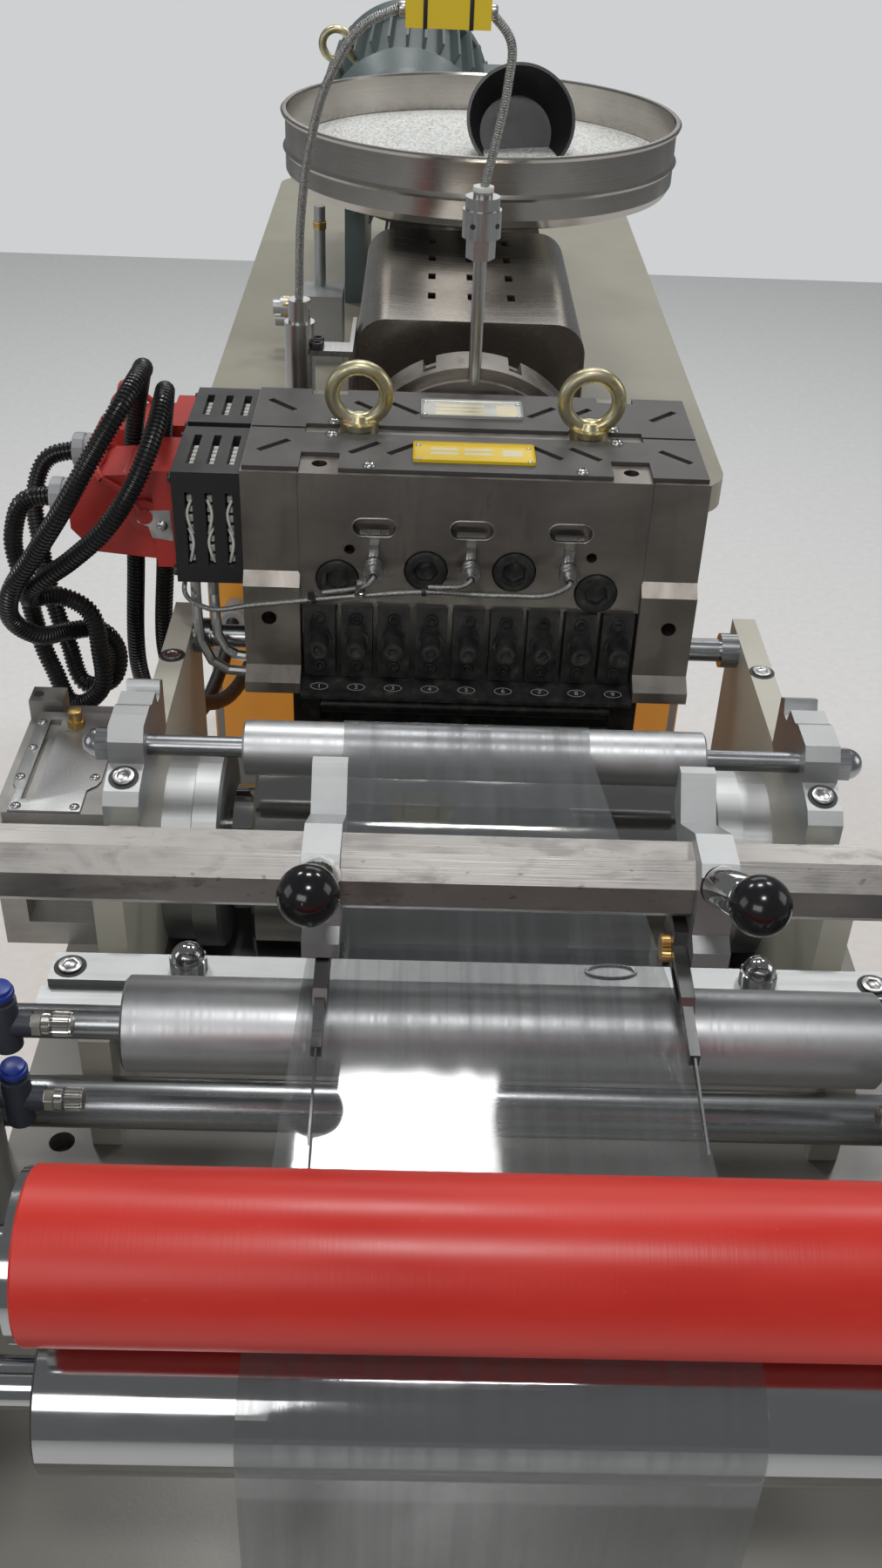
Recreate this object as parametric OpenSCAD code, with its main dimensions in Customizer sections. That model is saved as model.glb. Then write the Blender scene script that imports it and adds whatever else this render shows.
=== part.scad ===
// A laboratory film extruder: barrel, flat film die and chill-roll take-off.
// Sizes are in millimetres. Modules draw in die coordinates: X to the right,
// Y away from the die's front face, Z up from the die's top face.

/* [Machine] */
// Height of the die's top face above the floor
die_top_h = 1160; // [1130:5:1200]
// Distance from the die's front face back to the table's front edge
table_setback = 435; // [425:5:470]
// Length of the table
table_l = 1120; // [1060:10:1200]
// Width of the table
table_w = 516; // [500:2:540]
// Thickness of the table's folded edge
table_t = 28; // [20:1:34]
// Height of the die's top face above the table
table_drop = 195; // [190:1:205]
// Radius of the table's corners
table_corner_r = 40; // [20:1:60]
// Height of the recessed plinths
plinth_h = 80; // [60:5:100]
// How far the cabinets stand back under the table and the plate
cabinet_inset = 16; // [8:1:24]
// How far the plinths stand back under the cabinets
plinth_inset = 25; // [15:1:35]
// Thickness of the sheet panels on the cabinets
panel_t = 3; // [2:0.5:5]
// Gap round each sheet panel
panel_gap = 8; // [4:1:14]

/* [Die] */
// Number of lip adjusting blocks
lip_block_count = 9; // [7:1:9]
// Spacing of the lip adjusting blocks
lip_block_pitch = 25; // [24:0.5:26]
// Width of one adjusting block
lip_block_w = 21; // [18:0.5:22]
// Height of one adjusting block
lip_block_h = 53; // [48:1:56]
// Depth of the die from front to back
die_d = 143; // [135:1:150]
// Height of the die at its end plates
die_h = 156; // [154:1:160]
// Width of one end plate
end_plate_w = 37; // [30:1:38]
// Step of the end plates' face in front of the die's face
end_step = 8; // [5:0.5:10]
// Thickness of the sheet covers on top
cover_t = 2.5; // [1.5:0.5:4]
// Outside diameter of a lifting eye
eye_d = 46; // [40:1:50]
// Thickness of a lifting eye's ring
eye_bar_d = 10; // [8:0.5:11]
// Spacing of the lifting eyes
eye_spacing = 154; // [140:1:160]

/* [Extruder] */
// Radius of the barrel clamp ring
clamp_r = 90; // [84:1:94]
// Length of the barrel clamp ring
clamp_l = 42; // [36:1:48]
// Diameter of the barrel
barrel_d = 84; // [70:1:100]
// Width of the barrel's sheet cover
cover_w = 174; // [164:1:180]
// Length of the barrel's sheet cover
cover_l = 245; // [230:1:250]
// Thickness of the barrel cover's sheet
sheet_t = 2; // [1.5:0.5:3]
// Diameter of the hopper pan
pan_d = 360; // [340:2:380]
// Height of the hopper pan's wall
pan_h = 61; // [54:1:70]
// Thickness of the hopper pan's wall
pan_t = 2; // [1.5:0.5:3]
// Diameter of the motor's body
motor_d = 196; // [180:2:200]
// Length of the motor's finned body
motor_l = 240; // [220:5:260]
// Number of cooling fins round the motor
fin_count = 32; // [24:1:40]

/* [Take-off] */
// Clear width between the inner side frames
frame_gap = 376; // [370:1:384]
// Thickness of a side frame
frame_t = 16; // [12:1:18]
// Diameter of the chill roll
chill_d = 150; // [140:1:156]
// Length of the chill roll
chill_l = 262; // [240:1:270]
// Diameter of the chill roll's necks
neck_d = 82; // [60:2:100]
// Diameter of the chill roll's journals
journal_d = 48; // [40:1:52]
// Diameter of the top guide roller
top_roller_d = 32; // [28:1:36]
// Length of the top guide roller
top_roller_l = 264; // [250:1:290]
// Diameter of the top guide roller's fixed shaft
top_shaft_d = 12; // [10:1:14]
// Diameter of the wide guide roller
wide_roller_d = 45; // [40:1:48]
// Length of the wide guide roller
wide_roller_l = 350; // [330:2:370]
// Diameter of the wide guide roller's fixed shaft
wide_shaft_d = 16; // [14:1:20]
// Diameter of the rubber nip roller
red_roller_d = 62; // [58:1:66]
// Length of the rubber nip roller
red_roller_l = 350; // [320:2:360]
// Diameter of the front steel roller
front_roller_d = 64; // [50:1:66]
// Length of the front steel roller
front_roller_l = 356; // [320:2:366]
// Diameter of the nip rollers' journals
nip_journal_d = 20; // [16:1:22]
// Clear width between the outer side plates
outer_gap = 500; // [490:2:520]
// Thickness of an outer side plate
outer_t = 12; // [10:1:16]
// Width across the flats of the knife bar
bar_size = 33; // [28:1:36]
// Width of a knife holder along the bar
holder_w = 17; // [14:1:20]
// Diameter of a clamping knob
knob_d = 27; // [24:1:30]
// Radial running clearance of a roller on its shaft
run_fit = 0.05; // [0.02:0.01:0.1]
// Gap between the film and a roller's face
film_gap = 0.5; // [0.3:0.1:0.8]
// Thickness that stands for the film
film_t = 0.4; // [0.3:0.1:0.6]

/* [Hidden] */
$fn = 48;
slack = 0.3;

// The die's place over the floor, with the origin under the table's centre
die_to_origin = table_setback + table_l / 2;
floor_z = -die_top_h;
table_z = -table_drop;
table_mid_y = die_to_origin;

// Take-off: the plate that carries the rollers, and what stands on it
plate_z = -250;
plate_t = 12;
plate_front_y = -640;
plate_back_y = 70;
inner_x = frame_gap / 2;
frame_top_z = -121;
frame_back_y = 48;
frame_front_y = -268;
shoulder_z = -172;
shoulder_y = -330;
outer_x = outer_gap / 2;

// Axes of the rollers and bars as [y, z]
top_roller_at = [-169, -95];
chill_at = [-110, -213];
wide_at = [-378, -110];
red_at = [-550, -53];
front_at = [-548, -134];
tie_at = [-345, -200];
bar_at = [-345, -42];
tie_d = 27;
pin_at = [22, -132];
roller_mid_x = 10;

// Die
die_w = lip_block_count * lip_block_pitch;
end_x = die_w / 2 + end_plate_w;
face_y = -end_step;
flare_y = face_y - 12;
block_top_z = -93;
block_proud = 4;
lip_recess = 12;
lip_h = 46;
tap_y = 16;
tap_x = 100;
tap_r = 5;
tap_depth = 22;
face_tap_z = -100;
face_tap_x = die_w / 2 + 20.5;
barrel_z = -73;

// Extruder
clamp_back_y = die_d + clamp_l;
cover_front_y = 232;
cover_top_z = 23;
pan_y = 600;
pan_x = 12;
pan_bottom_z = 37;
pan_rim_z = pan_bottom_z + pan_h;
feed_front_y = cover_front_y + cover_l;
feed_back_y = 700;
feed_top_z = 2;
neck_r = 45;
gearbox_back_y = 900;
gearbox_w = 150;
gearbox_top_z = 30;
motor_x = -62;
motor_z = 0;

function unit(v) = v / norm(v);
function mid(a, b) = (a + b) / 2;

// Moves what is drawn in die coordinates to its place over the floor
module at_die() {
  translate([0, -die_to_origin, die_top_h]) children();
}

// A plate of thickness w along X, centred on x, cut to a profile of [y, z] points
module yz_plate(x, w, profile) {
  translate([x - w / 2, 0, 0])
    rotate([90, 0, 90]) linear_extrude(w) polygon(profile);
}

// A round bar along X from x0 to x1 on the axis at = [y, z]
module x_bar(d, x0, x1, at) {
  translate([x0, at[0], at[1]]) rotate([0, 90, 0]) cylinder(d = d, h = x1 - x0);
}

// A round bar along Y from y0 to y1 at x and z
module y_bar(d, y0, y1, x, z) {
  translate([x, y1, z]) rotate([90, 0, 0]) cylinder(d = d, h = y1 - y0);
}

// A block between two corners
module block(low, high) {
  translate(low) cube(high - low);
}

// A rectangle in X and Y with round corners
module round_rect(w, l, r) {
  square([w - 2 * r, l], center = true);
  square([w, l - 2 * r], center = true);
  for (sx = [-1, 1]) {
    for (sy = [-1, 1]) {
      translate([sx * (w / 2 - r), sy * (l / 2 - r)]) circle(r);
    }
  }
}

// Both sides of the machine
module both_sides() {
  children();
  mirror([1, 0, 0]) children();
}

// A tube swept along a list of points, with one ring at each point
function tangent(p, i) = unit(p[min(i + 1, len(p) - 1)] - p[max(i - 1, 0)]);
function square_to(t, n) = unit(n - t * (n * t));
function ring_normals(p, n, i = 0) =
  i == len(p) ? [] :
  let (m = square_to(tangent(p, i), n)) concat([m], ring_normals(p, m, i + 1));
function ring(c, t, n, r, sides) = [
  for (k = [0 : sides - 1])
    c + r * (cos(360 * k / sides) * n + sin(360 * k / sides) * cross(t, n))
];
module tube(points, d, sides, first_normal = [0, 0, 1]) {
  count = len(points);
  normals = ring_normals(points, first_normal);
  corners = [
    for (i = [0 : count - 1])
      each ring(points[i], tangent(points, i), normals[i], d / 2, sides)
  ];
  walls = [
    for (i = [0 : count - 2], k = [0 : sides - 1])
      let (a = i * sides + k, b = i * sides + (k + 1) % sides)
        [a, a + sides, b + sides, b]
  ];
  first = [for (k = [0 : sides - 1]) k];
  last = [for (k = [0 : sides - 1]) count * sides - 1 - k];
  polyhedron(corners, concat([first], walls, [last]));
}

// Extruder cabinet, with its recessed plinth
cabinet_l = table_l - 2 * cabinet_inset;
cabinet_w = table_w - 2 * cabinet_inset;
cabinet_top_z = table_z - table_t;
cabinet_low_z = floor_z + plinth_h;
module extruder_cabinet() {
  color("dimgray") at_die() {
    translate([0, table_mid_y, 0]) {
      translate([-cabinet_w / 2, -cabinet_l / 2, cabinet_low_z])
        cube([cabinet_w, cabinet_l, cabinet_top_z - cabinet_low_z]);
      translate([-cabinet_w / 2 + plinth_inset, -cabinet_l / 2 + plinth_inset, floor_z])
        cube([cabinet_w - 2 * plinth_inset, cabinet_l - 2 * plinth_inset, plinth_h]);
    }
  }
}

// Take-off cabinet, with its recessed plinth and a well under the chill roll
stand_mid_y = mid(plate_front_y, plate_back_y);
stand_l = plate_back_y - plate_front_y - 2 * cabinet_inset;
stand_w = outer_gap - 2 * cabinet_inset;
stand_top_z = plate_z - plate_t;
module takeoff_cabinet() {
  color("dimgray") at_die() difference() {
    translate([0, stand_mid_y, 0]) {
      translate([-stand_w / 2, -stand_l / 2, cabinet_low_z])
        cube([stand_w, stand_l, stand_top_z - cabinet_low_z]);
      translate([-stand_w / 2 + plinth_inset, -stand_l / 2 + plinth_inset, floor_z])
        cube([stand_w - 2 * plinth_inset, stand_l - 2 * plinth_inset, plinth_h]);
    }
    chill_well(chill_at[1] - chill_d / 2 - 15);
  }
}

// Sheet panels on the four sides of a cabinet, with two doors on each long side
module side_panels(w, l, low_z, high_z) {
  h = high_z - low_z - 2 * panel_gap;
  half_l = l / 2 - 1.5 * panel_gap;
  for (side = [0, 1]) mirror([side, 0, 0]) {
    for (door = [0, 1]) {
      y0 = door == 0 ? -l / 2 + panel_gap : panel_gap / 2;
      translate([w / 2, y0, low_z + panel_gap]) cube([panel_t, half_l, h]);
    }
  }
  for (end = [0, 1]) mirror([0, end, 0]) {
    translate([-w / 2 + panel_gap, l / 2, low_z + panel_gap])
      cube([w - 2 * panel_gap, panel_t, h]);
  }
}
module orange_panels() {
  color("orange") at_die() {
    translate([0, table_mid_y, 0])
      side_panels(cabinet_w, cabinet_l, cabinet_low_z, cabinet_top_z);
    translate([0, stand_mid_y, 0])
      side_panels(stand_w, stand_l, cabinet_low_z, stand_top_z);
  }
}

// Table that the extruder stands on
module table_top() {
  color("darkgray") at_die() translate([0, table_mid_y, table_z - table_t])
    linear_extrude(table_t) round_rect(table_w, table_l, table_corner_r);
}

// Plate that carries the take-off, with a well for the chill roll and a hole for an air line
air_hole_d = 14;
air_hole_at = [-221, -329];
well_l = chill_d + 14;
module chill_well(low_z) {
  block([-inner_x, chill_at[0] - well_l / 2, low_z], [inner_x, chill_at[0] + well_l / 2, plate_z + 1]);
}
module takeoff_plate() {
  color("lightgray") at_die() difference() {
    block([-outer_x, plate_front_y, plate_z - plate_t], [outer_x, plate_back_y, plate_z]);
    chill_well(plate_z - plate_t - 1);
    translate([air_hole_at[0], air_hole_at[1], plate_z - plate_t - 1])
      cylinder(d = air_hole_d, h = plate_t + 2);
  }
}

// Inner side frames, which carry the chill roll and the top guide roller
module side_frame() {
  difference() {
    yz_plate(inner_x + frame_t / 2, frame_t, [
      [frame_back_y, plate_z], [frame_back_y, frame_top_z],
      [frame_front_y + 6, frame_top_z], [frame_front_y, frame_top_z - 6],
      [frame_front_y, shoulder_z], [shoulder_y, shoulder_z], [shoulder_y, plate_z]
    ]);
    x_bar(journal_d + 6, inner_x - 1, inner_x + frame_t + 1, chill_at);
  }
}
module side_frames() {
  color("ivory") at_die() both_sides() side_frame();
}

// Outer side plates, which carry the knife bar, the wide roller and the nip
outer_low_z = plate_z - plate_t;
outer_top_z = red_at[1] + 50;
module outer_plate() {
  difference() {
    yz_plate(outer_x + outer_t / 2, outer_t, [
      [-330, outer_low_z], [-330, -150], [-322, -120], [-322, bar_at[1] + 28],
      [-366, bar_at[1] + 28], [-400, -75], [-505, -75], [-520, outer_top_z],
      [-590, outer_top_z], [-606, outer_top_z - 16], [-606, outer_low_z]
    ]);
    x_bar(nip_journal_d + 2 * run_fit, outer_x - 1, outer_x + outer_t + 1, red_at);
    x_bar(nip_journal_d + 2 * run_fit, outer_x - 1, outer_x + outer_t + 1, front_at);
  }
}
module outer_plates() {
  color("silver") at_die() both_sides() outer_plate();
}

// Stepped brackets on the side frames that hold the top guide roller's shaft
bracket_w = 20;
bracket_x = inner_x + frame_t - bracket_w / 2 + 3;
module roller_bracket() {
  difference() {
    yz_plate(bracket_x, bracket_w, [
      [-112, frame_top_z], [-112, -86], [-120, -82], [-124, -90], [-132, -90], [-136, -80],
      [-150, -80], [-156, -77], [-178, -77], [-184, -84], [-186, -97], [-206, -102],
      [-212, -108], [-212, frame_top_z]
    ]);
    x_bar(top_shaft_d, bracket_x - bracket_w, bracket_x + bracket_w, top_roller_at);
  }
}
module roller_brackets() {
  color("gainsboro") at_die() both_sides() roller_bracket();
}

// Fixed steel shafts: top guide shaft with its dome nuts, wide roller shaft,
// tie bar, and the two pins between the die's end plates and the side frames
top_shaft_x = bracket_x + bracket_w / 2 + 4;
pin_d = 16;
module dome_nut(d, h) {
  cylinder(d = d, h = h * 0.45, $fn = 6);
  translate([0, 0, h * 0.45 - 0.5]) intersection() {
    sphere(d = d * 0.86);
    cylinder(d = d, h = h);
  }
}
module fixed_shafts() {
  color("silver") at_die() {
    x_bar(top_shaft_d, -top_shaft_x, top_shaft_x, top_roller_at);
    both_sides() translate([bracket_x + bracket_w / 2, top_roller_at[0], top_roller_at[1]])
      rotate([0, 90, 0]) dome_nut(21, 20);
    x_bar(wide_shaft_d, -outer_x, outer_x, wide_at);
    x_bar(tie_d, -outer_x, outer_x, tie_at);
    both_sides() {
      x_bar(pin_d, end_x, inner_x, pin_at);
      x_bar(pin_d + 8, inner_x - 12, inner_x, pin_at);
    }
  }
}

// A guide roller: a tube with end caps that run on a fixed shaft
module guide_roller(d, l, shaft_d, x, at) {
  wall = 3;
  cap = 14;
  edge = 1.2;
  bore_r = shaft_d / 2 + run_fit;
  translate([x - l / 2, at[0], at[1]]) rotate([0, 90, 0]) rotate_extrude() polygon([
    [bore_r, 0], [d / 2 - wall, 0], [d / 2 - wall, 1.5], [d / 2 - edge, 0],
    [d / 2, edge], [d / 2, l - edge],
    [d / 2 - edge, l], [d / 2 - wall, l - 1.5], [d / 2 - wall, l], [bore_r, l],
    [bore_r, l - cap], [d / 2 - wall, l - cap], [d / 2 - wall, cap], [bore_r, cap]
  ]);
}
module top_guide_roller() {
  color("silver") at_die()
    guide_roller(top_roller_d, top_roller_l, top_shaft_d, 0, top_roller_at);
}
module wide_guide_roller() {
  color("silver") at_die()
    guide_roller(wide_roller_d, wide_roller_l, wide_shaft_d, roller_mid_x, wide_at);
}

// Chill roll with its journals, which run in the housings and reach the drive
housing_l = 36;
housing_d = 122;
drive_wall = 10;
journal_end = inner_x + frame_t;
module chill_roll() {
  color("lightsteelblue") at_die()
    translate([0, chill_at[0], chill_at[1]]) rotate([0, 90, 0]) rotate_extrude() polygon([
      [0, -journal_end], [journal_d / 2, -journal_end],
      [journal_d / 2, -inner_x + housing_l + 5], [neck_d / 2, -inner_x + housing_l + 5],
      [neck_d / 2, -chill_l / 2 - 3], [neck_d / 2 + 3, -chill_l / 2],
      [chill_d / 2 - 2, -chill_l / 2], [chill_d / 2, -chill_l / 2 + 2],
      [chill_d / 2, chill_l / 2 - 2], [chill_d / 2 - 2, chill_l / 2],
      [neck_d / 2 + 3, chill_l / 2], [neck_d / 2, chill_l / 2 + 3],
      [neck_d / 2, inner_x - housing_l - 5], [journal_d / 2, inner_x - housing_l - 5],
      [journal_d / 2, journal_end], [0, journal_end]
    ]);
}

// Round bearing housings of the chill roll on the inner faces of the frames
module roll_housing() {
  translate([inner_x, chill_at[0], chill_at[1]]) rotate([0, -90, 0]) rotate_extrude() polygon([
    [journal_d / 2 + run_fit, 0], [housing_d / 2, 0], [housing_d / 2, housing_l / 2],
    [housing_d / 2 + 4, housing_l / 2 + 1], [housing_d / 2 + 4, housing_l - 2],
    [housing_d / 2 + 2, housing_l], [journal_d / 2 + run_fit, housing_l]
  ]);
}
module roll_housings() {
  color("silver") at_die() both_sides() roll_housing();
}

// Drive unit of the chill roll, outside the left side frame
drive_w = 84;
drive_back_y = -32;
drive_front_y = -168;
drive_top_z = -150;
drive_x = -inner_x - frame_t;
module roll_drive() {
  color("lightgray") at_die() difference() {
    union() {
      block([drive_x - drive_w, drive_front_y, plate_z], [drive_x, drive_back_y, drive_top_z - 8]);
      block([drive_x - drive_w + 8, drive_front_y + 4, drive_top_z - 8],
        [drive_x - 8, drive_back_y - 22, drive_top_z]);
      block([drive_x - drive_w, drive_back_y - 18, drive_top_z - 8],
        [drive_x - drive_w + 22, drive_back_y, drive_top_z + 6]);
      block([drive_x - 20, drive_back_y - 18, drive_top_z - 8],
        [drive_x, drive_back_y, drive_top_z + 6]);
    }
    translate([drive_x - drive_w + 17, drive_front_y + 16, drive_top_z - 2])
      cube([8, 88, 4]);
    translate([drive_x - drive_w + 16, drive_front_y - 1, plate_z + 18])
      cube([drive_w - 32, 16, 52]);
    x_bar(journal_d + 6, drive_x - drive_wall, drive_x + 1, chill_at);
  }
}

// Cross plate and beam in front of the chill roll, with two dome nuts
beam_x = 222;
beam_back_y = -286;
beam_w = 21;
beam_top_z = -150;
dome_spacing = 300;
module cross_beams() {
  color("lightgray") at_die() {
    block([-beam_x, beam_back_y - beam_w, shoulder_z], [beam_x, beam_back_y, beam_top_z]);
    block([-beam_x - 4, beam_back_y - beam_w - 18, shoulder_z],
      [beam_x + 4, beam_back_y - beam_w, beam_top_z - 5]);
    for (sx = [-1, 1]) {
      translate([sx * dome_spacing / 2, beam_back_y - beam_w / 2, beam_top_z])
        dome_nut(20, 18);
    }
  }
}

// Knife bar: a square bar with chamfered edges, from plate to plate
module bar_profile(size) {
  cut = size * 0.29;
  half = size / 2;
  polygon([
    [half, -half + cut], [half, half - cut], [half - cut, half], [-half + cut, half],
    [-half, half - cut], [-half, -half + cut], [-half + cut, -half], [half - cut, -half]
  ]);
}
module knife_bar() {
  color("silver") at_die() translate([-outer_x, bar_at[0], bar_at[1]])
    rotate([90, 0, 90]) linear_extrude(outer_gap) bar_profile(bar_size);
}

// Knife holders: stepped clamps round the bar, with the knife arms on their left faces
holder_left_x = -75;
holder_right_x = 102;
wrap = 6;
holder_back_y = bar_at[0] + bar_size / 2 + wrap;
holder_front_y = bar_at[0] - bar_size / 2 - wrap;
holder_top_z = bar_at[1] + bar_size / 2 + wrap;
holder_low_z = bar_at[1] - bar_size / 2 - wrap - 4;
module holder_block(x) {
  back = holder_back_y;
  front = holder_front_y;
  top = holder_top_z;
  low = holder_low_z;
  yz_plate(x, holder_w, [
    [back + 35, top + 1], [back + 29.5, top + 1], [back + 13.5, top - 17.5],
    [back - 18.5, top + 1], [front + 4.5, top + 1], [front, top - 3.5], [front, low + 12],
    [front - 8, low + 8], [front - 8, low], [back - 6, low], [back, low + 10],
    [back + 8, top - 34], [back + 35, top - 20]
  ]);
}
module knife_holder(x) {
  difference() {
    holder_block(x);
    translate([x - holder_w / 2 - 1, bar_at[0], bar_at[1]]) rotate([90, 0, 90])
      linear_extrude(holder_w + 2) bar_profile(bar_size + 2 * slack);
  }
}
module knife_holder_left() {
  color("gainsboro") at_die() knife_holder(holder_left_x);
}
module knife_holder_right() {
  color("gainsboro") at_die() knife_holder(holder_right_x);
}

// Clamping knobs: a ball on a hub that leans outward from the holder's front face
knob_foot = [0, holder_front_y + 2, holder_top_z - 9];
knob_reach = 33;
knob_lean = [-3, 12];
hub_d = 19;
module along(v) {
  rotate([0, acos(v[2] / norm(v)), atan2(v[1], v[0])]) children();
}
module clamp_knob(x, lean) {
  difference() {
    translate([x, 0, 0]) translate(knob_foot) along([lean, -29, 12.5]) {
      cylinder(d = hub_d, h = knob_reach - knob_d * 0.3);
      translate([0, 0, knob_reach]) sphere(d = knob_d);
    }
    holder_block(x);
  }
}
module clamp_knob_left() {
  color("black") at_die() clamp_knob(holder_left_x, knob_lean[0]);
}
module clamp_knob_right() {
  color("black") at_die() clamp_knob(holder_right_x, knob_lean[1]);
}

// Knife arms: a slotted flat under or beside the holder, a rod and a thin blade
// that reaches over the wide roller and ends a few millimetres above the film
arm_t = 6.5;
arm_y = bar_at[0] - 2;
arm_z = -75;
rod_y = -422;
rod_z = -81;
tip_y = -470;
tip_z = -88;
module blade_arm(x, top_z) {
  difference() {
    yz_plate(x, arm_t, [
      [arm_y + 10, top_z], [arm_y + 10, arm_z - 4.5], [arm_y - 44, arm_z - 6.6],
      [arm_y - 50, arm_z - 3], [arm_y - 46, arm_z + 4], [arm_y - 14, arm_z + 6], [arm_y - 14, top_z]
    ]);
    for (y = [arm_y - 20, arm_y - 40]) x_bar(5, x - arm_t, x + arm_t, [y, arm_z - 1.5]);
    block([x - arm_t, arm_y - 40, arm_z - 4], [x + arm_t, arm_y - 20, arm_z + 1]);
  }
  yz_plate(x, 4.6, [
    [arm_y - 44, arm_z + 1], [arm_y - 44, arm_z - 6], [rod_y, rod_z - 3], [rod_y, rod_z + 3]
  ]);
  yz_plate(x, 1, [
    [rod_y + 2, rod_z + 2.5], [rod_y + 2, rod_z - 2.5], [tip_y + 4, tip_z], [tip_y, tip_z + 2]
  ]);
  x_bar(11, x - arm_t / 2 - 4, x - arm_t / 2, [arm_y - 8, arm_z - 0.5]);
}
module blade_arm_left() {
  color("dimgray") at_die() blade_arm(holder_left_x + 1, holder_low_z);
}
module blade_arm_right() {
  color("dimgray") at_die()
    blade_arm(holder_right_x - holder_w / 2 - arm_t / 2, holder_low_z + 8);
}

// Rubber nip roller: a rubber sleeve on a steel core with end rings and journals
core_d = 48;
core_ring = 3;
nip_journal_x = outer_x + outer_t;
module nip_place(at) {
  translate([roller_mid_x, at[0], at[1]]) rotate([0, 90, 0]) children();
}
module red_roller() {
  half = red_roller_l / 2;
  color("red") at_die() nip_place(red_at) rotate_extrude() polygon([
    [core_d / 2, -half], [red_roller_d / 2 - 1, -half], [red_roller_d / 2, -half + 1],
    [red_roller_d / 2, half - 1], [red_roller_d / 2 - 1, half], [core_d / 2, half]
  ]);
}
module red_roller_core() {
  half = red_roller_l / 2;
  end = half + core_ring;
  ring = red_roller_d / 2 - 1;
  low = -nip_journal_x - roller_mid_x;
  high = nip_journal_x - roller_mid_x;
  color("silver") at_die() nip_place(red_at) rotate_extrude() polygon([
    [0, low], [nip_journal_d / 2, low], [nip_journal_d / 2, -end], [ring, -end], [ring, -half],
    [core_d / 2, -half], [core_d / 2, half], [ring, half], [ring, end],
    [nip_journal_d / 2, end], [nip_journal_d / 2, high], [0, high]
  ]);
}

// Front steel roller, polished, with journals in the outer plates
module front_steel_roller() {
  half = front_roller_l / 2;
  r = front_roller_d / 2;
  low = -nip_journal_x - roller_mid_x;
  high = nip_journal_x - roller_mid_x;
  color("silver") at_die() nip_place(front_at) rotate_extrude() polygon([
    [0, low], [nip_journal_d / 2, low], [nip_journal_d / 2, -half],
    [r - 1, -half], [r, -half + 1], [r, half - 1], [r - 1, half],
    [nip_journal_d / 2, half], [nip_journal_d / 2, high], [0, high]
  ]);
}

// Air cylinders that press the nip, on the inner faces of the outer plates
cylinder_d = 30;
cylinder_x = outer_x - 22;
cylinder_y = -430;
valve_z = [-68, -114];
module air_cylinder() {
  r = cylinder_d / 2;
  translate([cylinder_x, cylinder_y, plate_z + 40]) cylinder(d = cylinder_d, h = 120);
  block([cylinder_x - r, cylinder_y - r - 1, plate_z + 32], [outer_x, cylinder_y + r + 1, plate_z + 44]);
  block([cylinder_x - r, cylinder_y - r - 1, plate_z + 156], [outer_x, cylinder_y + r + 1, plate_z + 166]);
}
module air_cylinders() {
  color("silver") at_die() both_sides() air_cylinder();
}

// Flow control fittings of the air cylinders, one above the other
fitting_x = 206;
module air_fitting(z) {
  translate([fitting_x, cylinder_y + 8, z]) {
    cylinder(d = 13, h = 26, center = true);
    translate([0, 0, 13]) cylinder(d = 10, h = 5);
    rotate([0, -90, 0]) cylinder(d = 11, h = 12);
    translate([-10, 0, 0]) rotate([0, -90, 0]) cylinder(d = 10, h = 6, $fn = 6);
    translate([-16, 0, 0]) rotate([0, -90, 0]) cylinder(d = 7.5, h = 5);
    translate([-20, 0, 0]) rotate([0, -90, 0]) cylinder(d = 10, h = 8);
  }
  x_bar(9, fitting_x, cylinder_x, [cylinder_y + 8, z]);
}
module air_fittings() {
  color("dimgray") at_die() both_sides() {
    for (z = valve_z) air_fitting(z);
    block([cylinder_x - 8, cylinder_y + 2, valve_z[1] - 5], [cylinder_x, cylinder_y + 14, -62]);
  }
}

// Film web: a thin band that runs from the die round the rollers with a small gap.
// A stop is [y, z, r]: r is over 0 where the film passes under a roller, under 0 over one
lip_exit = [31, -die_h - lip_h - 0.3];
function under(at, d) = [at[0], at[1], d / 2 + film_gap + film_t / 2];
function over(at, d) = [at[0], at[1], -(d / 2 + film_gap + film_t / 2)];
web_stops = [
  [lip_exit[0], lip_exit[1], 0],
  under(chill_at, chill_d),
  over(top_roller_at, top_roller_d),
  over(wide_at, wide_roller_d),
  over(front_at, front_roller_d),
  [front_at[0] - front_roller_d / 2 - 3, plate_z + 12, 0]
];
function leave_angle(a, b) =
  atan2(b[1] - a[1], b[0] - a[0])
  + acos((a[2] - b[2]) / norm([b[0] - a[0], b[1] - a[1]]));
function turn_by(stop, a0, a1) =
  let (d = (a1 - a0) - 360 * floor((a1 - a0) / 360)) stop[2] > 0 ? d - 360 : d;
function web_side(side) = [
  for (i = [0 : len(web_stops) - 1])
    let (
      stop = web_stops[i],
      first = i == 0,
      last = i == len(web_stops) - 1,
      a0 = first ? leave_angle(stop, web_stops[1]) : leave_angle(web_stops[i - 1], stop),
      a1 = last ? a0 : leave_angle(stop, web_stops[i + 1]),
      turn = first || last ? 0 : turn_by(stop, a0, a1),
      steps = max(1, ceil(abs(turn) / 12)),
      r = stop[2] + side * film_t / 2
    )
      for (k = [0 : first || last ? 0 : steps])
        let (a = a0 + turn * k / steps) [stop[0] + r * cos(a), stop[1] + r * sin(a)]
];
function backwards(p) = [for (i = [len(p) - 1 : -1 : 0]) p[i]];
module film_web() {
  color("lightcyan", 0.4) at_die() intersection() {
    yz_plate(0, chill_l, concat(web_side(-1), backwards(web_side(1))));
    translate([0, 0, floor_z]) linear_extrude(die_top_h) polygon([
      [-100, 60], [100, 60], [72, -40], [64, -190], [88, -378], [104, -620],
      [-96, -620], [-84, -378], [-74, -190], [-80, -40]
    ]);
  }
}

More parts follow.
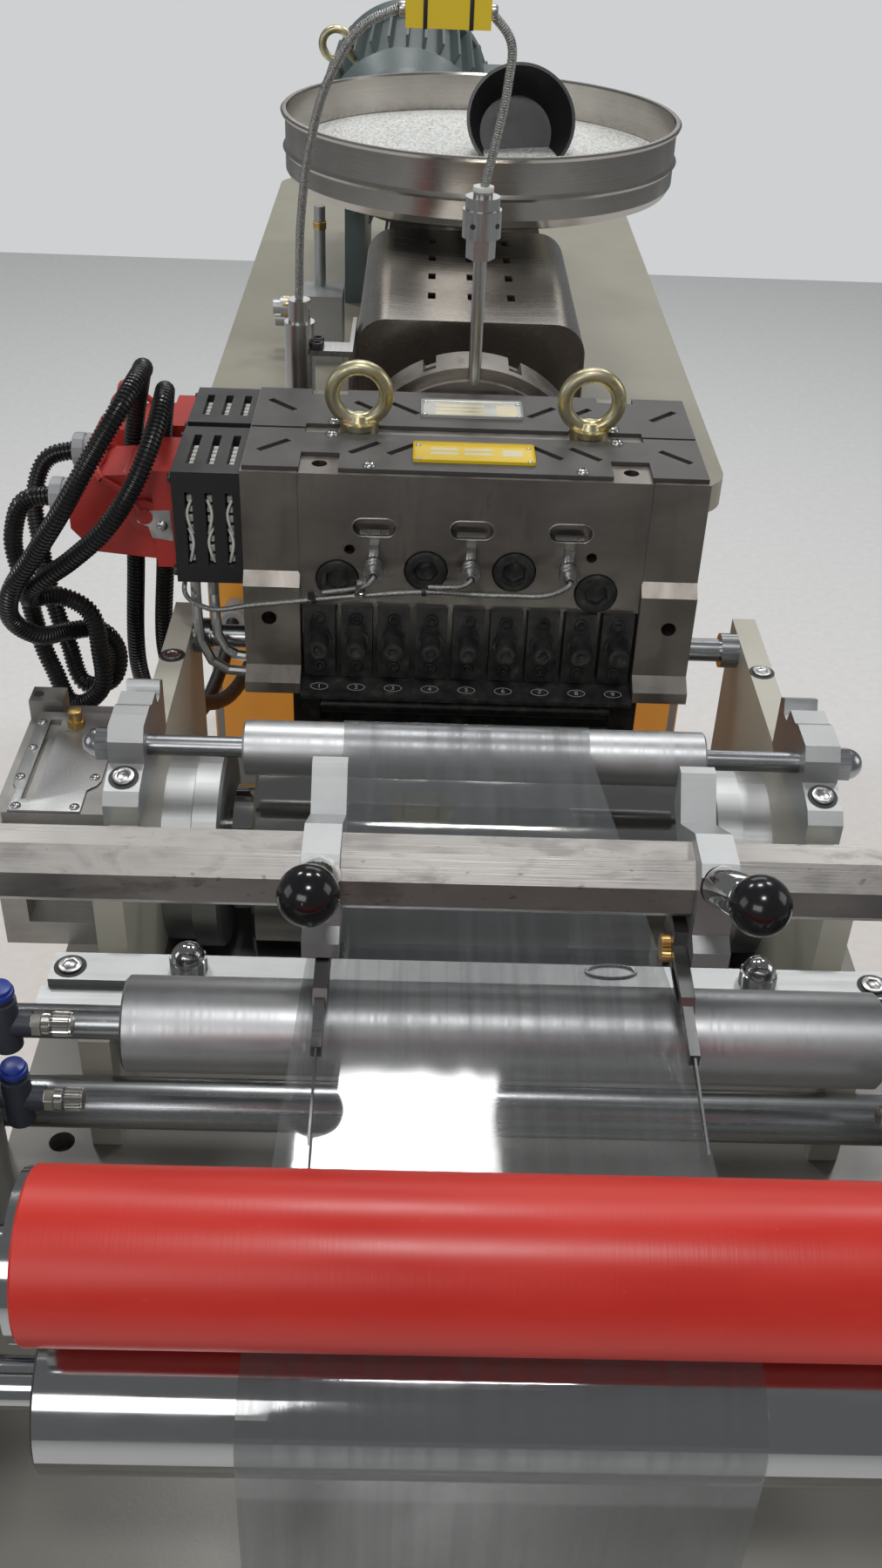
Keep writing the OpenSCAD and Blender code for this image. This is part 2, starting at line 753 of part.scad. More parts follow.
// Die body, with its front slots, counterbores and tapped holes
slot_x = [-64, -1, 63];
slot_w = 28;
slot_h = 12;
bolt_at = [[-88, -74], [-30, -66], [28, -65], [83, -79]];
counterbore_d = 29;
module slot_cut(x, z, w, h, depth) {
  r = h / 2;
  for (sx = [-1, 1]) y_bar(h, -1, depth, x + sx * (w / 2 - r), z);
  block([x - w / 2 + r, -1, z - r], [x + w / 2 - r, depth, z + r]);
}
module die_body() {
  half = die_w / 2;
  color("rosybrown") at_die() difference() {
    union() {
      block([-half, 0, block_top_z], [half, die_d, 0]);
      block([-half, lip_recess, -die_h], [half, die_d, block_top_z]);
    }
    for (x = slot_x) {
      slot_cut(x, -36, slot_w, slot_h, 9);
      y_bar(11, -1, 6, x, -61);
    }
    for (p = bolt_at) y_bar(counterbore_d, -1, 7, p[0], p[1]);
    for (p = [[-80, -52], [78, -53]]) y_bar(7, -1, 20, p[0], p[1]);
    for (sx = [-1, 1]) translate([sx * tap_x, tap_y, -tap_depth]) cylinder(r = tap_r, h = tap_depth + 1);
  }
}

// End plates of the die, with two outward steps down their front
seam = 0.8;
module die_end_plate() {
  difference() {
    yz_plate(die_w / 2 + end_plate_w / 2, end_plate_w, [
      [die_d, 0], [0, 0], [0, -69], [face_y, -77], [face_y, -136], [flare_y, -143],
      [flare_y, -151], [flare_y + 8, -die_h], [die_d, -die_h]
    ]);
    y_bar(2 * tap_r, face_y - 1, face_y + tap_depth, face_tap_x, face_tap_z);
    block([die_w / 2 - 1, -1, block_top_z], [die_w / 2 + seam, seam, 1]);
    block([die_w / 2 - 1, -1, -seam], [die_w / 2 + seam, die_d + 1, 1]);
  }
}
module die_end_plates() {
  color("rosybrown") at_die() both_sides() die_end_plate();
}

// Sheet covers on top of the die, with slanted slots and cut-outs at the taps
sheet_split_y = [4, 67, 70, 139];
strip_y = [61, 76];
vent_l = 26;
vent_w = 5;
vent_x = [47, 72, 131];
module vent(x, y, turn) {
  translate([x, y, -1]) rotate([0, 0, turn]) translate([-vent_l / 2, -vent_w / 2, 0])
    cube([vent_l, vent_w, cover_t + 2]);
}
module die_top_cover() {
  half = end_x - 1;
  color("dimgray") at_die() difference() {
    union() {
      block([-half, sheet_split_y[0], 0], [half, sheet_split_y[1], cover_t]);
      block([-half, sheet_split_y[2], 0], [half, sheet_split_y[3], cover_t]);
    }
    for (sx = [-1, 1]) {
      for (x = vent_x) {
        vent(sx * x, 38, -sx * 45);
        vent(sx * x, 108, sx * 45);
      }
      block(
        [sx * tap_x - 12.5, sheet_split_y[0] - 1, -1], [sx * tap_x + 12.5, 28, cover_t + 1]);
      block(
        [sx * tap_x - 12.5, 130, -1], [sx * tap_x + 12.5, sheet_split_y[3] + 1, cover_t + 1]);
      translate([sx * eye_spacing / 2, eye_y, -1]) cylinder(d = eye_collar_d + 2, h = cover_t + 2);
    }
    block([-die_w / 2, strip_y[0], -1], [die_w / 2, strip_y[1], cover_t + 1]);
  }
}

// Lifting eyes: two on the die and one on the shoulder of the motor
eye_y = 73;
eye_collar_d = 26;
eye_collar_h = 7;
module lifting_eye() {
  ring_r = (eye_d - eye_bar_d) / 2;
  ring_z = eye_collar_h + ring_r;
  cylinder(d = eye_collar_d, h = eye_collar_h);
  cylinder(d1 = eye_collar_d - 4, d2 = eye_bar_d + 2, h = eye_collar_h + eye_bar_d * 0.4);
  translate([0, 0, ring_z]) rotate([90, 0, 0]) rotate_extrude()
    translate([ring_r, 0]) circle(d = eye_bar_d);
}
motor_eye_y = 1010;
module motor_eye() {
  cylinder(d = 24, h = 16);
  translate([0, 0, 30]) rotate([90, 0, 0]) rotate_extrude() translate([16, 0]) circle(d = 9);
}
module lifting_eyes() {
  color("khaki") at_die() {
    for (sx = [-1, 1]) translate([sx * eye_spacing / 2, eye_y, 0]) lifting_eye();
    translate([motor_x, motor_eye_y, motor_z]) rotate([0, -45, 0])
      translate([0, 0, motor_d / 2 - 12]) motor_eye();
  }
}

// Lip adjusters: a row of black blocks, each with two socket screws and a bolt
module lip_adjuster() {
  h = lip_block_h;
  difference() {
    block([-lip_block_w / 2, -block_proud, -h], [lip_block_w / 2, lip_recess, 0]);
    for (z = [-8, -h + 8]) y_bar(9, -block_proud - 1, -block_proud + 2, 0, z);
  }
  y_bar(13, -block_proud - 17, -block_proud, 0, -h * 0.44);
  y_bar(16, -block_proud - 3, -block_proud, 0, -h * 0.44);
}
module lip_adjusters() {
  color("black") at_die() for (i = [0 : lip_block_count - 1])
    translate([(i - (lip_block_count - 1) / 2) * lip_block_pitch, 0, block_top_z])
      lip_adjuster();
}

// Strip under the adjusters, which carries their numbers
module number_strip() {
  low = block_top_z - lip_block_h;
  color("black") at_die() yz_plate(0, die_w - 1, [
    [lip_recess, low], [-5, low - 0.5], [-24, low - 4], [-24, low - 6.5], [-4, low - 3.5],
    [lip_recess, low - 3]
  ]);
}

// Die lips under the body, with the deckle rod in front
lip_y = 10;
module die_lips() {
  low = -die_h;
  color("black") at_die() {
    yz_plate(0, die_w + 12, [
      [lip_y - 6, low], [72, low], [40, low - lip_h], [lip_y + 12, low - lip_h],
      [lip_y - 2, low - lip_h + 12]
    ]);
    x_bar(12, -die_w / 2 + 6, die_w / 2 - 12, [lip_y - 8, low - 16]);
    for (sx = [-1, 1]) block(
      [sx * (die_w / 2 - 3) - 9, lip_y - 16, low - 28], [sx * (die_w / 2 - 3) + 9, 64, low]);
  }
}

// Thermocouples with their bayonet caps
module thermocouples() {
  color("silver") at_die() for (x = slot_x) {
    y_bar(10.6, -7, 5.5, x, -61);
    y_bar(12.5, -14, -6, x, -61);
    y_bar(7, -17, -13, x, -61);
    block([x - 3, -5, -57], [x + 3, 0, -46]);
  }
}

// Braided leads of the thermocouples
thermo_d = 3.4;
lead_right_points = [
  [63, -17, -61], [63, -21, -62], [56, -20, -68], [20, -16, -74], [-28, -16, -73],
  [-76, -17, -77], [-140, -16, -86], [-175, -9, -93], [-190, 5, -89], [-190, 13, -82]
];
lead_middle_points = [
  [-1, -17, -61], [-1, -21, -61.5], [-5, -21, -65], [-14, -18, -68], [-28, -16.5, -69.2]
];
lead_left_points = [
  [-64, -17, -61], [-64, -21, -62], [-68, -21, -67], [-76, -18, -71], [-97, -16.5, -75.4]
];
module thermo_lead_right() {
  color("silver") at_die() tube(lead_right_points, thermo_d, 8);
}
module thermo_lead_middle() {
  color("silver") at_die() tube(lead_middle_points, thermo_d, 8);
}
module thermo_lead_left() {
  color("silver") at_die() tube(lead_left_points, thermo_d, 8);
}

// Terminal boxes at the die's left end, with slotted covers
box_right_x = -end_x;
box_left_x = -194;
box_top_z = -4;
box_low_z = -82;
box_ys = [[5, 80], [88, 152]];
module terminal_boxes() {
  color("black") at_die() for (span = box_ys) difference() {
    block([box_left_x, span[0], box_low_z], [box_right_x, span[1], box_top_z]);
    for (k = [0 : 2]) {
      x0 = box_left_x + 8 + k * 13;
      block([x0, span[0] + 14, box_top_z - 10], [x0 + 5, span[1] - 14, box_top_z + 1]);
      if (span[0] < 20) block([x0, span[0] - 1, box_low_z + 12], [x0 + 5, span[0] + 8, box_top_z - 14]);
    }
  }
}

// Red connectors on the terminal boxes: a flanged base and a sloping hood
connector_ys = [42, 118];
module red_connector(y) {
  low = box_low_z + 8;
  high = box_top_z - 6;
  half = 24;
  block([box_left_x - 14, y - half - 4, low - 2], [box_left_x, y + half + 4, high + 2]);
  translate([0, y + half, 0]) rotate([90, 0, 0]) linear_extrude(2 * half) polygon([
    [box_left_x - 14, low + 2], [box_left_x - 14, high - 2], [box_left_x - 48, high - 4],
    [box_left_x - 70, high - 14], [box_left_x - 70, low + 22], [box_left_x - 56, low + 6]
  ]);
}
module red_connectors() {
  color("firebrick") at_die() for (y = connector_ys) red_connector(y);
}

// Grey glands at the connectors' ends and on the extruder cabinet's front
gland_z = -40;
gland_d = 22;
gland_l = 16;
cabinet_gland_x = [26 - cabinet_w / 2, 54 - cabinet_w / 2];
cabinet_gland_z = -345;
cabinet_front_y = table_mid_y - cabinet_l / 2 - panel_t;
module connector_glands() {
  color("lightgray") at_die() {
    for (y = connector_ys)
      x_bar(gland_d, box_left_x - 70 - gland_l, box_left_x - 70, [y, gland_z]);
    for (x = cabinet_gland_x)
      y_bar(gland_d, cabinet_front_y - gland_l, cabinet_front_y, x, cabinet_gland_z);
  }
}

// Corrugated conduits from the glands, looped and led down to the cabinet
conduit_d = 13;
conduit_front_points = [
  [-280, 42, -40], [-298, 42, -44], [-308, 38, -66], [-302, 30, -106], [-288, 19, -160],
  [-272, 12, -185], [-256, 12, -174], [-253, 15, -142], [-260, 21, -114], [-278, 21, -104],
  [-294, 6, -98], [-288, -7, -84], [-258, -13, -59], [-235, -14, -37], [-217, -9, -12],
  [-204, 10, 16], [-200, 38, 32], [-204, 66, 24], [-211, 81, -18], [-215, 83, -98],
  [-222, 90, -184], [-214, 150, -264], [-200, 240, -320], [-190, 340, -343], [-188, 432, -345]
];
conduit_rear_points = [
  [-280, 118, -40], [-298, 116, -45], [-308, 104, -66], [-304, 86, -96], [-283, 48, -156],
  [-268, 36, -184], [-252, 34, -178], [-246, 38, -156], [-256, 37, -139], [-275, 26, -134],
  [-290, 3, -125], [-303, -12, -104], [-299, -20, -82], [-280, -23, -53], [-257, -25, -18],
  [-236, -16, 16], [-218, 4, 43], [-212, 34, 50], [-218, 64, 38], [-230, 81, -14],
  [-236, 83, -100], [-243, 90, -200], [-234, 150, -288], [-224, 240, -335], [-217, 340, -346],
  [-216, 432, -345]
];
module conduit_front() {
  color("black") at_die() tube(conduit_front_points, conduit_d, 8);
}
module conduit_rear() {
  color("black") at_die() tube(conduit_rear_points, conduit_d, 8);
}

// Bent steel tubes that lead the heater wires into the left end plate
heater_tube_d = 7;
module heater_tubes() {
  color("silver") at_die() {
    tube([[-183, 9, box_low_z], [-183, 8, -92], [-182, 3, -108], [-181, 2, -124],
      [-174, 2, -140], [-163, 2, -147], [-end_x, 2, -148]], heater_tube_d, 10, [1, 0, 0]);
    tube([[-171, 9, box_low_z], [-171, 8, -92], [-170, 3, -107], [-169, 2, -119],
      [-164, 2, -130], [-157, 2, -135], [-end_x, 2, -136]], heater_tube_d, 10, [1, 0, 0]);
  }
}

// Clamp ring between the die and the barrel
module barrel_clamp() {
  color("darkgray") at_die() difference() {
    union() {
      y_bar(2 * clamp_r, die_d + 8, clamp_back_y, 0, barrel_z);
      y_bar(2 * clamp_r - 14, die_d, clamp_back_y + 6, 0, barrel_z);
    }
    for (a = [-60, -20, 20, 60]) translate([0, 0, barrel_z]) rotate([0, a, 0])
      translate([-5, die_d + 16, clamp_r - 10]) cube([10, clamp_l - 16, 14]);
  }
}

// Barrel with its feed block and support foot
module barrel() {
  color("gray") at_die() {
    y_bar(barrel_d, clamp_back_y + 6, feed_front_y, 0, barrel_z);
    difference() {
      block([-70, feed_front_y, table_z], [70, feed_back_y, feed_top_z]);
      for (sx = [-1, 1]) block(
        [sx * 60 - 16, feed_front_y - 1, table_z - 1], [sx * 60 + 16, feed_back_y + 1, barrel_z - 60]);
    }
    translate([pan_x, pan_y, feed_top_z]) cylinder(r = neck_r - 6, h = 12);
  }
}

// Sheet cover over the barrel: an inverted U with round shoulders and rows of slots
cover_corner_r = 24;
cover_mid_y = cover_front_y + cover_l / 2;
module cover_outline(inset) {
  r = cover_corner_r - inset;
  w = cover_w / 2 - inset;
  top = cover_top_z - inset;
  translate([-w, table_z]) square([2 * w, top - table_z - r]);
  translate([-w + r, table_z]) square([2 * (w - r), top - table_z]);
  for (sx = [-1, 1]) translate([sx * (w - r), top - r]) circle(r);
}
module barrel_cover() {
  color("silver") at_die() difference() {
    union() {
      translate([0, cover_front_y + cover_l, 0]) rotate([90, 0, 0]) linear_extrude(cover_l)
        difference() {
          cover_outline(0);
          cover_outline(sheet_t);
        }
      for (y = [cover_front_y + 5, cover_front_y + cover_l])
        translate([0, y, 0]) rotate([90, 0, 0]) linear_extrude(2) cover_outline(sheet_t / 2);
    }
    y_bar(barrel_d + 6, cover_front_y - 1, cover_front_y + cover_l + 1, 0, barrel_z);
    for (col = [-30, 1, 32]) {
      for (row = [0 : 3]) {
        translate([col - 3, cover_front_y + 52 + row * 50, cover_top_z - 6])
          cube([6, 15, 12]);
      }
    }
  }
}

// Hopper: a round pan with a rolled rim and a bead, on a short neck
module hopper_pan() {
  r = pan_d / 2;
  b = pan_bottom_z;
  bead_z = b + pan_h * 0.46;
  color("silver") at_die() translate([pan_x, pan_y, 0]) rotate_extrude($fn = 96) polygon([
    [neck_r - 4, feed_top_z], [neck_r, feed_top_z], [neck_r, b - 4], [neck_r + 4, b],
    [r - 12, b], [r - 4, b + 3], [r, b + 10], [r, bead_z - 3], [r + 2.5, bead_z],
    [r, bead_z + 3], [r, pan_rim_z - 5], [r + 3, pan_rim_z - 4], [r + 4, pan_rim_z - 1.5],
    [r + 2.5, pan_rim_z], [r - 1, pan_rim_z], [r - pan_t, pan_rim_z - 2],
    [r - pan_t, b + 11], [r - 5, b + 4 + pan_t], [r - 12, b + pan_t], [neck_r, b + pan_t],
    [neck_r - 4, b]
  ]);
}

// Plastic pellets heaped in the pan
pellet_edge_z = pan_bottom_z + 26;
module pellets() {
  r = pan_d / 2 - pan_t - 0.5;
  b = pan_bottom_z + pan_t;
  color("white") at_die() translate([pan_x, pan_y, 0]) rotate_extrude($fn = 96) polygon([
    [0, b], [r - 12, b], [r - 3, b + 8], [r, b + 12], [r, pellet_edge_z],
    [r * 0.6, pellet_edge_z + 10], [r * 0.25, pellet_edge_z + 8], [0, pellet_edge_z + 4]
  ]);
}

// Black measuring cup that stands in the pellets
cup_d = 98;
cup_at = [46, 560, 97];
module hopper_cup() {
  color("black") at_die() translate(cup_at) rotate([62, 0, 4]) difference() {
    translate([0, 0, -34]) cylinder(d1 = cup_d - 26, d2 = cup_d, h = 42);
    translate([0, 0, -31]) cylinder(d1 = cup_d - 32, d2 = cup_d - 5, h = 40);
  }
}

// Gearbox behind the hopper
module gearbox() {
  y0 = feed_back_y + 30;
  color("darkslategray") at_die() {
    block([-gearbox_w / 2 + 10, y0, table_z], [gearbox_w / 2 - 10, gearbox_back_y, gearbox_top_z - 14]);
    block([-gearbox_w / 2, y0 + 14, table_z], [gearbox_w / 2, gearbox_back_y - 14, table_z + 22]);
    block([-gearbox_w / 2 + 26, y0 + 20, gearbox_top_z - 14],
      [gearbox_w / 2 - 26, gearbox_back_y - 20, gearbox_top_z]);
    y_bar(gearbox_w - 20, feed_back_y, y0, 0, barrel_z);
    translate([30, y0 + 60, gearbox_top_z]) cylinder(d = 22, h = 16);
  }
}

// Drive motor: a finned body between a front bell and a fan cowl
motor_front_y = gearbox_back_y;
module drive_motor() {
  r = motor_d / 2;
  y1 = motor_front_y + 40;
  y2 = y1 + motor_l;
  color("darkslategray") at_die() translate([motor_x, 0, motor_z]) {
    rotate([-90, 0, 0]) rotate_extrude($fn = 64) polygon([
      [0, motor_front_y], [r - 26, motor_front_y], [r - 20, motor_front_y + 8], [r - 4, y1 - 8],
      [r - 4, y1], [r - 8, y1], [r - 8, y2], [r + 4, y2], [r + 4, y2 + 50], [r - 10, y2 + 66],
      [r - 30, y2 + 70], [0, y2 + 70]
    ]);
    for (k = [0 : fin_count - 1]) rotate([0, k * 360 / fin_count, 0])
      translate([-1.5, y1 - 1, r - 10]) cube([3, motor_l + 2, 18]);
    block([-70, y1 + 10, table_z - motor_z], [-46, y2 - 10, -r * 0.6]);
    block([46, y1 + 10, table_z - motor_z], [70, y2 - 10, -r * 0.6]);
    block([r - 10, y1 + 70, -30], [r + 46, y1 + 170, 50]);
  }
}

// Cooling water block on the table, with its pipe and brass fittings
module water_block() {
  color("gainsboro") at_die() {
    block([-168, 738, table_z], [-124, 790, -122]);
    translate([-150, 780, -122]) cylinder(d = 12, h = 84);
    x_bar(16, -200, -168, [758, -140]);
    x_bar(22, -192, -180, [758, -140]);
    x_bar(16, -200, -168, [778, -160]);
  }
}

// Melt probe: a thin rod in the die's back, with a stepped head
probe_at = [1, die_d + 3];
probe_head_z = 95;
module melt_probe() {
  color("silver") at_die() translate([probe_at[0], probe_at[1], 0]) {
    translate([0, 0, barrel_z + clamp_r - 9]) cylinder(d = 9, h = probe_head_z - (barrel_z + clamp_r - 9));
    translate([0, 0, probe_head_z]) cylinder(d = 20, h = 14, $fn = 6);
    translate([0, 0, probe_head_z + 14]) cylinder(d = 26, h = 18);
    translate([0, 0, probe_head_z + 32]) cylinder(d = 23, h = 8);
    translate([0, 0, probe_head_z + 40]) cylinder(d = 13, h = 3);
  }
}

// Conduit from the probe's head to the yellow connector
probe_conduit_points = [
  [1, 146, 138], [7, 142, 168], [13, 138, 205], [13, 135, 230], [0, 132, 246]
];
module probe_conduit() {
  color("silver") at_die() tube(probe_conduit_points, 6, 8, [1, 0, 0]);
}

// Yellow connector pair at the conduits' meeting point
module yellow_connector() {
  color("gold") at_die() {
    block([-52, 122, 237], [0, 142, 255]);
    x_bar(8, -56, -52, [132, 246]);
  }
}

// Armoured cable from the yellow connector down to the pressure sensor
sensor_cable_points = [
  [-56, 132, 246], [-74, 135, 238], [-98, 149, 206], [-114, 166, 158], [-122, 182, 108],
  [-126, 200, 46]
];
module sensor_cable() {
  color("silver") at_die() tube(sensor_cable_points, 6, 8, [0, 0, 1]);
}

// Pressure sensor on a bracket beside the barrel cover
sensor_at = [-126, 200];
module pressure_sensor() {
  color("silver") at_die() {
    translate([sensor_at[0], sensor_at[1], 0]) {
      translate([0, 0, 30]) cylinder(d = 16, h = 16);
      translate([0, 0, -60]) cylinder(d = 22, h = 90);
    }
    block([sensor_at[0] + 8, sensor_at[1] - 10, 8], [-cover_w / 2, sensor_at[1] + 10, 12]);
    block([-cover_w / 2 - 3, sensor_at[1] - 10, -34],
      [-cover_w / 2, cover_front_y + 36, 12]);
  }
}

extruder_cabinet();
takeoff_cabinet();
orange_panels();
table_top();
takeoff_plate();
side_frames();
outer_plates();
roller_brackets();
fixed_shafts();
top_guide_roller();
chill_roll();
roll_housings();
roll_drive();
cross_beams();
knife_bar();
knife_holder_left();
knife_holder_right();
clamp_knob_left();
clamp_knob_right();
blade_arm_left();
blade_arm_right();
wide_guide_roller();
red_roller();
red_roller_core();
front_steel_roller();
air_cylinders();
air_fittings();
film_web();
die_body();
die_end_plates();
die_top_cover();
lifting_eyes();
lip_adjusters();
number_strip();
die_lips();
thermocouples();
thermo_lead_left();
thermo_lead_middle();
thermo_lead_right();
terminal_boxes();
red_connectors();
connector_glands();
conduit_front();
conduit_rear();
heater_tubes();
barrel_clamp();
barrel();
barrel_cover();
hopper_pan();
pellets();
hopper_cup();
gearbox();
drive_motor();
water_block();
melt_probe();
probe_conduit();
yellow_connector();
sensor_cable();
pressure_sensor();
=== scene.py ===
# %% [markdown]
# # A laboratory film extruder
# The CAD model already holds every piece at its real size. This script gives those pieces
# their finishes and adds the small things that are left to it: screws, numbers, the
# corrugation of the conduits and the pellets in the hopper.
#
# Every length below is in metres, in the same frame as the CAD.

# %% Load the frame
import math
import random

import bpy
from mathutils import Matrix, Vector


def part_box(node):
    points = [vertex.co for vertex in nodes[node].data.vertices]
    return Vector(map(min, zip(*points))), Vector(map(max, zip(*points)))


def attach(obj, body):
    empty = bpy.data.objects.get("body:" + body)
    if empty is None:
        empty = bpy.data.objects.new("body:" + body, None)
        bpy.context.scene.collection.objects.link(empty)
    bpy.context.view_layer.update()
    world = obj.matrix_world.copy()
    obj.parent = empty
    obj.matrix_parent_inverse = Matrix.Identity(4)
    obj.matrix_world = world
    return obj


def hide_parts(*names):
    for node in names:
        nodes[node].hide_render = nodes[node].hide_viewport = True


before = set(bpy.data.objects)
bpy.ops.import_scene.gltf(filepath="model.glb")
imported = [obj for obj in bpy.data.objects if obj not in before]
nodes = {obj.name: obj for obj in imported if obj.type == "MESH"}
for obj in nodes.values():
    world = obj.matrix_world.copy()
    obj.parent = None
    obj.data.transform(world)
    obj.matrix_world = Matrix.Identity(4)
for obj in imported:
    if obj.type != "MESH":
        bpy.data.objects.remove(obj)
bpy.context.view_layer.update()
bpy.context.scene.view_settings.view_transform = "Standard"

# %% [markdown]
# ## The die is the reference
# On the real line everything is set out from the die. So places are written as
# millimetres right of, behind and above the middle of the die's top front edge,
# which the frame gives us.

# %% Places measured from the die
die_low, die_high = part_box("die_body")
die_corner = Vector((0, die_low.y, die_high.z))


def at(x, y, z):
    """A point given in millimetres from the die's top front edge."""
    return die_corner + Vector((x, y, z)) / 1000


def spot(x, y, z):
    """The matrix that moves a model to such a point, unturned."""
    return Matrix.Translation(at(x, y, z))


print("die corner:", tuple(round(v, 3) for v in die_corner))

# %% [markdown]
# ## Camera
# The photographer stands at the take-off end, a little left of the middle, and looks
# down over the rollers to the die. The camera is turned in three steps: up from
# straight down, rolled about its own line of sight, and turned a little to the side.

# %% Camera
camera_place = at(-36.6, -882.4, 389.9)
look_down = 0.6177  # radians under the horizon
camera_roll = 0.0423
camera_turn = -0.0255
lens_mm = 34.38

camera_data = bpy.data.cameras.new("camera")
camera_data.lens = lens_mm
camera_data.clip_start = 0.01
camera = bpy.data.objects.new("camera", camera_data)
camera.matrix_world = (
    Matrix.Translation(camera_place)
    @ Matrix.Rotation(camera_turn, 4, "Z")
    @ Matrix.Rotation(math.pi / 2 - look_down, 4, "X")
    @ Matrix.Rotation(camera_roll, 4, "Z")
)
bpy.context.scene.collection.objects.link(camera)
bpy.context.scene.camera = camera
print("camera at", tuple(round(v, 3) for v in camera.location))

# %% [markdown]
# ## Ways of working
# Three small helpers are used all through. `select_only` leaves one object selected and
# active, because an operator acts on all that is selected. `finish_piece` applies the
# place of a finished object to its mesh and lets it ride on its body. `copy_to` makes a
# copy with its own mesh, for what repeats.

# %% Helpers for modelling
ROOT = "machine"


def select_only(*objects):
    bpy.ops.object.select_all(action="DESELECT")
    for o in objects:
        o.select_set(True)
    bpy.context.view_layer.objects.active = objects[0]


def edit_all(action):
    """Goes into edit mode with everything selected or nothing."""
    bpy.ops.object.mode_set(mode="EDIT")
    bpy.ops.mesh.select_all(action=action)


def apply_now(location=False, rotation=False, scale=False):
    """Applies the place, the turn or the scale of what is selected to its mesh."""
    bpy.ops.object.transform_apply(location=location, rotation=rotation, scale=scale)


def finish_piece(piece, name, material, body=ROOT, smooth=35):
    """Names the piece, applies its place to its mesh, finishes it and lets it ride."""
    piece.name = name
    piece.data.name = name
    select_only(piece)
    apply_now(location=True, rotation=True, scale=True)
    if smooth:
        bpy.ops.object.shade_smooth_by_angle(angle=math.radians(smooth))
    piece.data.materials.clear()
    piece.data.materials.append(material)
    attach(piece, body)
    return piece


def join_pieces(pieces):
    """Joins the pieces into the first one."""
    select_only(*pieces)
    if len(pieces) > 1:
        bpy.ops.object.join()
    return bpy.context.view_layer.objects.active


def copy_to(piece, matrix):
    """A copy with its own mesh, moved by the matrix."""
    twin = piece.copy()
    twin.data = piece.data.copy()
    bpy.context.scene.collection.objects.link(twin)
    twin.matrix_world = matrix @ piece.matrix_world
    return twin


# %% [markdown]
# ## Finishes
# A finish is a node tree on the Principled shader. The helpers below add the few nodes
# that all of them share: object coordinates with a scale per axis, noise, a colour ramp
# and a bump. Stretching the noise along one axis turns specks into grinding lines.

# %% Helpers for materials
def mix_colours(tree, factor, first, second):
    """A mix of two colours, each of them a fixed one or the output of a node."""
    node = tree.nodes.new("ShaderNodeMix")
    node.data_type = "RGBA"
    tree.links.new(factor, node.inputs[0])
    for socket, value in ((6, first), (7, second)):
        if hasattr(value, "is_linked"):
            tree.links.new(value, node.inputs[socket])
        else:
            node.inputs[socket].default_value = (*value, 1)
    return node.outputs[2]


class Finish:
    """A material with a Principled shader and short ways to add what feeds it."""

    def __init__(self, name, colour, metallic=0.0, roughness=0.5, **sockets):
        self.material = bpy.data.materials.new(name)
        self.material.use_nodes = True
        self.nodes = self.material.node_tree.nodes
        self.links = self.material.node_tree.links
        self.shader = self.nodes["Principled BSDF"]
        self.shader.inputs["Base Color"].default_value = (*colour, 1)
        self.shader.inputs["Metallic"].default_value = metallic
        self.shader.inputs["Roughness"].default_value = roughness
        for socket, value in sockets.items():
            self.shader.inputs[socket.replace("_", " ")].default_value = value
        self.material.diffuse_color = (*colour, 1)

    def coords(self, scale=(1, 1, 1), centre=(0, 0, 0), turn=(0, 0, 0)):
        place = self.nodes.new("ShaderNodeTexCoord")
        mapping = self.nodes.new("ShaderNodeMapping")
        mapping.vector_type = "POINT"
        self.links.new(place.outputs["Object"], mapping.inputs["Vector"])
        mapping.inputs["Location"].default_value = [-c * s for c, s in zip(centre, scale)]
        mapping.inputs["Rotation"].default_value = turn
        mapping.inputs["Scale"].default_value = scale
        return mapping.outputs["Vector"]

    def noise(self, vector, scale, detail=3, rough=0.55, distortion=0.0):
        node = self.nodes.new("ShaderNodeTexNoise")
        self.links.new(vector, node.inputs["Vector"])
        node.inputs["Scale"].default_value = scale
        node.inputs["Detail"].default_value = detail
        node.inputs["Roughness"].default_value = rough
        node.inputs["Distortion"].default_value = distortion
        return node.outputs["Fac"]

    def ramp(self, value, *stops):
        node = self.nodes.new("ShaderNodeValToRGB")
        self.links.new(value, node.inputs["Fac"])
        points = node.color_ramp.elements
        while len(points) < len(stops):
            points.new(0.5)
        for point, (place, colour) in zip(points, stops):
            point.position = place
            point.color = (*colour, 1) if len(colour) == 3 else colour
        return node.outputs["Color"]

    def spread(self, value, low, high, out_low, out_high):
        node = self.nodes.new("ShaderNodeMapRange")
        self.links.new(value, node.inputs["Value"])
        node.inputs["From Min"].default_value = low
        node.inputs["From Max"].default_value = high
        node.inputs["To Min"].default_value = out_low
        node.inputs["To Max"].default_value = out_high
        return node.outputs["Result"]

    def arithmetic(self, operation, first, second):
        node = self.nodes.new("ShaderNodeMath")
        node.operation = operation
        self.links.new(first, node.inputs[0])
        self.links.new(second, node.inputs[1])
        return node.outputs[0]

    def mix(self, factor, first, second):
        return mix_colours(self.material.node_tree, factor, first, second)

    def bump(self, height, strength, distance=0.001, under=None):
        node = self.nodes.new("ShaderNodeBump")
        self.links.new(height, node.inputs["Height"])
        node.inputs["Strength"].default_value = strength
        node.inputs["Distance"].default_value = distance
        if under is not None:
            self.links.new(under, node.inputs["Normal"])
        return node.outputs["Normal"]

    def feed(self, **sockets):
        for socket, value in sockets.items():
            self.links.new(value, self.shader.inputs[socket.replace("_", " ")])
        return self.material


